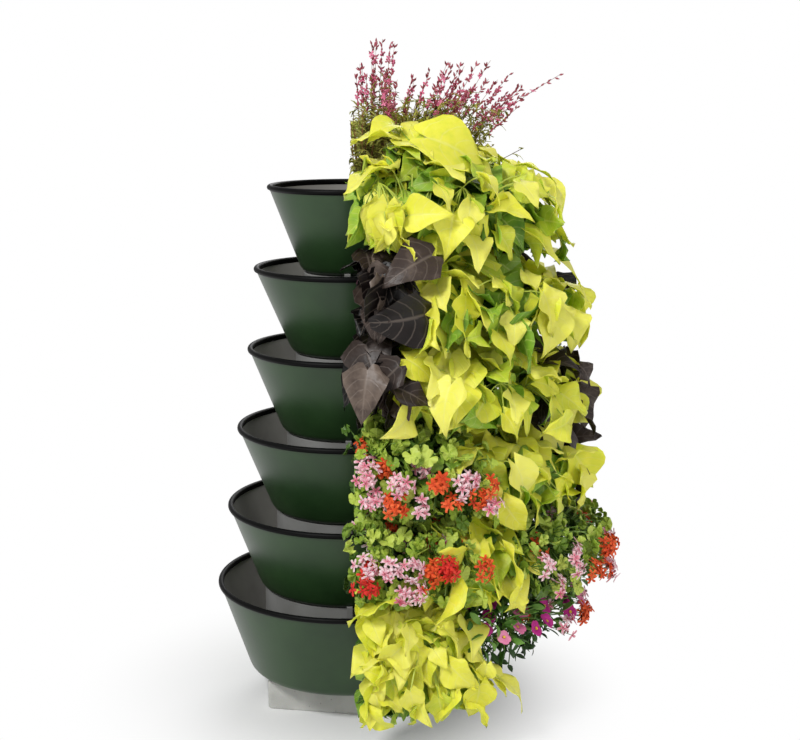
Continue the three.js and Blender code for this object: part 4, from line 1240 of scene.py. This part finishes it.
bush = root_plant("calibrachoa_1_right", 17, -5, (-57, 38), 9)
tier, dice, spread = bush.tier, bush.dice, bush.spread
for inset, tone in calibrachoa_layers:
    for i in range(layer_leaves):
        azimuth = spread[0] + (i + dice.random()) / layer_leaves * (spread[1] - spread[0])
        share = leaf_low_share * ((i * golden_share + inset) % 1)
        radius, height, dip = outside_place(tier, azimuth, share, inset)
        leaf = new_leaf(dice, calibrachoa_leaf_length, azimuth, dip - small_leaf_lift, tone, wild=1.6)
        leaf.width_share = dice.uniform(*small_leaf_widths)
        leaf.ruffle = 0
        grow_leaf(bush, oval, leaf, polar(azimuth, radius - calibrachoa_foot_depth, height), bush.runners)
for i in range(trumpets):
    azimuth = spread[0] + (i + dice.random()) / trumpets * (spread[1] - spread[0])
    share = trumpet_high_share + (trumpet_low_share - trumpet_high_share) * ((i * golden_share) % 1)
    radius, height, dip = outside_place(tier, azimuth, share, 0)
    face = pi / 2 - dip + dice.gauss(0, trumpet_sway[0])
    aside = azimuth + dice.gauss(0, trumpet_sway[1])
    direction = Vector((cos(aside) * cos(face), sin(aside) * cos(face), sin(face)))
    height = min(height, ceiling_at(tier, radius + trumpet_width) - trumpet_width / 2)
    spot = polar(azimuth, radius, height)
    grow_flower(bush, trumpet, spot, direction, trumpet_width, 2 if i % 3 else 3, 0.6)
    grow_flower(bush, throat_disc, spot + direction * throat_lift, direction, throat_width, 4, 0.6)
    near = nearest_spot(bush.runners, spot)
    foot = spot - direction * trumpet_depth_share * trumpet_width
    stalk = bend_curve(near, near.lerp(foot, 0.5), foot, 3)
    grow_stem(bush, stalk, stalk_radius, stalk_sides, stalk_finish, 0.6)
# Here the petals are 5 for orange-red and 6 for pink
for head in (
        (-34, 0.3, 5), (-28, 0.5, 6), (-22, 0.35, 6), (-16, 0.55, 5), (-10, 0.3, 6), (-4, 0.5, 6),
        (4, 0.4, 5), (-30, 0.14, 6), (-18, 0.16, 5), (-8, 0.12, 6), (14, 0.3, 6), (24, 0.5, 5)):
    grow_head(bush, *head)
stand_plant(bush, "calibrachoa_1_right_bush", [
    small_leaf, geranium_stalk, magenta_petal, rose_petal, yellow_throat, orange_petal, pink_petal],
    "flowering_foliage", "calibrachoa_1_right")

# Pink spikes
# A wiry upright plant at the top: narrow olive leaves at its foot and thin arching stems with
# dark red buds and pink four-petalled flowers.
spike_stem_radius = 0.0009
bud_length = 0.009
bud_radius = 0.0019
bud_foot_radius = 0.0005
bud_tip_radius = 0.0004
spike_flower_width = 0.0115
spike_flower_stalk = 0.004
olive_leaf_length = 0.024
spike_left_limit = 0.003
spike_root_arch = 0.01
stem_foot_shift = 0.02
leafy_foot_shift = 0.01
# The stems' points: leaves up to the first bud, then buds and flowers
stem_steps = 12
first_leaf, first_bud = 3, 8
bush_steps = 8
leaves_per_step = 4
buds_per_step = 4
flower_share = 0.36
stem_sides = 3
stem_depth = (-0.04, 0.14)
bush_depth = (-0.06, 0.13)
bush_drop = 0.06
# The stems with flowers, group by group: their tips' range across and in height, and how many
flowering_stems = (
    (0.012, 0.085, 1.08, 1.162, 13), (0.03, 0.13, 1.04, 1.1, 10), (0.13, 0.2, 1.06, 1.13, 6),
    (0.19, 0.3, 1.06, 1.135, 14), (0.25, 0.315, 1.03, 1.1, 9))
# One long stem that leans out to the right
leaning_foot = (0.12, 0.02)
leaning_tip = (0.365, 0.0, 1.1)
# The leafy stems: their tips' range across, the height of the highest, and how many
leafy_stems = ((0.004, 0.1, 1.05, 46), (0.1, 0.235, 1.066, 54), (0.22, 0.3, 0.99, 14))


def grow_narrow_leaf(plant, length, dips, tone, tone_range, width_shares, start, end):
    """A narrow leaf somewhere on a stretch of a stem, unless it would stand over the bare half"""
    dice = plant.dice
    heading = dice.uniform(-pi, pi)
    dip = dice.uniform(*dips)
    if tone_range:
        tone += dice.uniform(-tone_range, tone_range)
    leaf = new_leaf(dice, length, heading, dip, tone, wild=0.4)
    leaf.width_share = dice.uniform(*width_shares)
    leaf.ruffle = 0
    points = leaf_points(narrow, start.lerp(end, dice.random()), leaf)
    if points[:, 0].min() > spike_left_limit:
        add_blade(plant, narrow, points, leaf.tone, blade_finish)


# Gaura leaf: narrow, matt olive green, flushed with reddish brown
olive_leaf = leaf_finish("olive_gaura_leaf", (
    (0, "#352f10"), (0.35, "#66611f"), (0.7, "#8f9138"), (1, "#b0b04e")), "#b9b06a", roughness=0.6,
    vein_strength=0.2)
# Gaura stem: thin and wiry, dull red-brown
wiry_stem = leaf_finish("wiry_red_brown_stem", (
    (0, "#5a3324"), (0.5, "#8a5a3c"), (1, "#a3784f")), "#a3784f", roughness=0.6, vein_strength=0)
# Gaura bud and petal: the buds dark red and smooth, the petals thin, matt and pink
dark_bud = leaf_finish("dark_red_bud", (
    (0, "#7a2a34"), (0.5, "#a84a5a"), (1, "#c8707e")), "#7a2a34", roughness=0.5, vein_strength=0.2)
gaura_petal = leaf_finish("pink_gaura_petal", (
    (0, "#cf4f76"), (0.4, "#e06c92"), (0.7, "#ec93b0"), (1, "#f5bccb")), "#b8456a", roughness=0.6,
    vein_strength=0.3)
narrow_shares = ((0, 0.2), (0.25, 0.9), (0.5, 1.0), (0.75, 0.7), (1, 0.03))
narrow = blade_pattern(narrow_shares, lobe=0, columns=2, rows=4)
gaura_flower = star_pattern(petals(4, (
    (-45, 0.2), (-26, 0.78), (-9, 1.0), (9, 1.0), (26, 0.78))), 4, throat=0.05)

spray = root_plant("pink_spikes_6_back", 66, 70, (-90, 90), 0)
dice, root = spray.dice, spray.crown
stems = []
for low, high, top_low, top_high, count in flowering_stems:
    for _ in range(count):
        across, depth = dice.uniform(low, high), dice.uniform(*stem_depth)
        tip = Vector((across, depth, dice.uniform(top_low, top_high)))
        stem_foot = Vector((0.5 * tip.x + stem_foot_shift, 0.6 * tip.y + stem_foot_shift, root.z))
        stems.append((stem_foot, tip))
stems.append((Vector((*leaning_foot, root.z)), Vector(leaning_tip)))
for start, tip in stems:
    knee = start.lerp(tip, 0.45) + Vector((-0.12 * (tip.x - start.x), 0, 0.1 * (tip.z - start.z)))
    path = bend_curve(start, knee, tip, stem_steps)
    foot = bend_curve(root, root.lerp(start, 0.5) + Vector((0, 0, spike_root_arch)), start, 3)[:-1]
    taper = [spike_stem_radius * (1 - 0.05 * k) for k in range(stem_steps + 1)]
    radii = [spike_stem_radius] * len(foot) + taper
    grow_stem(spray, foot + path, radii, stem_sides, stalk_finish, dice.random())
    # Painted shade: leaves lower on the stem get a lower tone, darker inside the bush
    for k in range(first_leaf, first_bud + 1):
        for _ in range(leaves_per_step):
            grow_narrow_leaf(spray, olive_leaf_length, (-1.1, 0.2), 0.4 + 0.05 * k, 0, (0.14, 0.22),
                             path[k], path[k + 1])
    along = (tip - path[first_bud]).normalized()
    for k in range(first_bud, stem_steps):
        for _ in range(buds_per_step):
            near = path[k].lerp(path[k + 1], dice.random())
            side = any_direction(dice)
            out = (along * 1.2 + side).normalized()
            if k < stem_steps - 1 and dice.random() < flower_share:
                flower_foot = near + out * spike_flower_stalk
                grow_flower(spray, gaura_flower, flower_foot, side, spike_flower_width, 3, 0.5)
                grow_stem(spray, [near, flower_foot], spike_stem_radius * 0.5, 3, stalk_finish, 0.5)
            else:
                grow_stem(spray, [near, near + out * 0.5 * bud_length, near + out * bud_length],
                          [bud_foot_radius, bud_radius, bud_tip_radius], 5, 2, dice.random())
for low, high, top, count in leafy_stems:
    for _ in range(count):
        across, depth = dice.uniform(low, high), dice.uniform(*bush_depth)
        tip = Vector((across, depth, dice.uniform(top - bush_drop, top)))
        start = Vector((
            0.5 * tip.x + leafy_foot_shift, 0.7 * tip.y + leafy_foot_shift, root.z + spike_root_arch))
        path = bend_curve(root, start, tip, bush_steps)
        grow_stem(spray, path, spike_stem_radius * 0.8, stem_sides, stalk_finish, dice.random())
        # Painted shade: leaves lower on the stem get a lower tone, darker inside the bush
        for k in range(first_leaf, bush_steps + 1):
            for _ in range(leaves_per_step):
                grow_narrow_leaf(spray, olive_leaf_length * 0.9, (-1.2, 0.3), 0.12 * k, 0.2, (0.16, 0.26),
                                 path[k], path[k - 1])
stand_plant(spray, "pink_spikes_6_back_spray", [olive_leaf, wiry_stem, dark_bud, gaura_petal],
            "spike_foliage", "pink_spikes_6_back")

# Studio
# A white room: a near-white floor, a large soft lamp at the upper left in front, and weaker
# fill lamps at the right and behind. The camera stands where the rims look as they should.
camera_place = Vector((0, -2.593, 1.098))
camera_tilt = (radians(78.9), 0, radians(-2.02))
camera_lens = 67.6
sensor_width = 36
floor_reach = 6
floor_fade = (0.13, 0.52)
room_strength = 0.42
lamp_aim = Vector((0.05, 0, 0.6))

camera = bpy.data.objects.new("camera", bpy.data.cameras.new("camera"))
camera.data.lens = camera_lens
camera.data.sensor_width = sensor_width
camera.data.clip_end = 4 * floor_reach
camera.location = camera_place
camera.rotation_euler = camera_tilt
bpy.context.scene.collection.objects.link(camera)
bpy.context.scene.camera = camera

# White paper: matt, with a faint fibre, drawn coarser than it is. It keeps the shadow near the
# tower, and further out it shows the white of the room to the eye.
paper_grain = 0.002
paper, tree, shader, place = new_finish("white_paper_floor", roughness=0.9, Specular_IOR_Level=0.1)
fibres = add_node(tree, "TexNoise", [("Vector", place), ("Scale", 1 / paper_grain)])
whites = add_node(tree, "ValToRGB", [("Fac", fibres)], stops=((0, "#f6f6f6"), (1, "#fbfbfb")))
dress(tree, shader, Base_Color=whites)
far = add_node(tree, "VectorMath", [(0, place)], operation="LENGTH")
fade = add_node(tree, "MapRange", [
    ("Value", far.outputs["Value"]), ("From Min", floor_fade[0]), ("From Max", floor_fade[1])],
    interpolation_type="SMOOTHSTEP")
rays = add_node(tree, "LightPath")
seen = add_node(tree, "Math", [
    (0, rays.outputs["Is Camera Ray"]), (1, rays.outputs["Is Glossy Ray"])], operation="MAXIMUM")
seen = add_node(tree, "Math", [
    (0, seen), (1, rays.outputs["Is Transmission Ray"])], operation="MAXIMUM")
blank = add_node(tree, "Math", [(0, seen), (1, fade)], operation="MULTIPLY")
white = add_node(tree, "Emission", [("Color", (1, 1, 1, 1)), ("Strength", 1)])
mixed = add_node(tree, "MixShader", [(0, blank), (1, shader), (2, white)])
dress(tree, tree.nodes["Material Output"], Surface=mixed)
floor = shape_piece("paper_floor", [
    (x * floor_reach, y * floor_reach, 0) for x, y in ((-1, -1), (1, -1), (1, 1), (-1, 1))],
    [(0, 1, 2, 3)], [paper])

# The room is white to the camera and dimmer as a light
room = bpy.data.worlds.new("white_room")
bpy.context.scene.world = room
room.use_nodes = True
tree = room.node_tree
rays = add_node(tree, "LightPath")
seen = add_node(tree, "Math", [
    (0, rays.outputs["Is Camera Ray"]), (1, rays.outputs["Is Transmission Ray"])], operation="MAXIMUM")
dim = add_node(tree, "Background", [("Color", (1, 1, 1, 1)), ("Strength", room_strength)])
bright = add_node(tree, "Background", [("Color", (1, 1, 1, 1)), ("Strength", 1)])
mixed = add_node(tree, "MixShader", [(0, seen), (1, dim), (2, bright)])
dress(tree, tree.nodes["World Output"], Surface=mixed)

for name, spot, size, power in (
        ("key_lamp", (-1.7, -2.5, 3.3), 1.1, 98),
        ("right_fill", (2.8, -2.0, 1.6), 2.0, 20),
        ("back_fill", (0.6, 3.0, 2.4), 2.0, 40)):
    lamp = bpy.data.objects.new(name, bpy.data.lights.new(name, "AREA"))
    lamp.data.shape = "DISK"
    lamp.data.size = size
    lamp.data.energy = power
    lamp.location = spot
    lamp.rotation_euler = (lamp_aim - Vector(spot)).to_track_quat("-Z", "Y").to_euler()
    bpy.context.scene.collection.objects.link(lamp)

bpy.context.scene.view_settings.view_transform = "Standard"
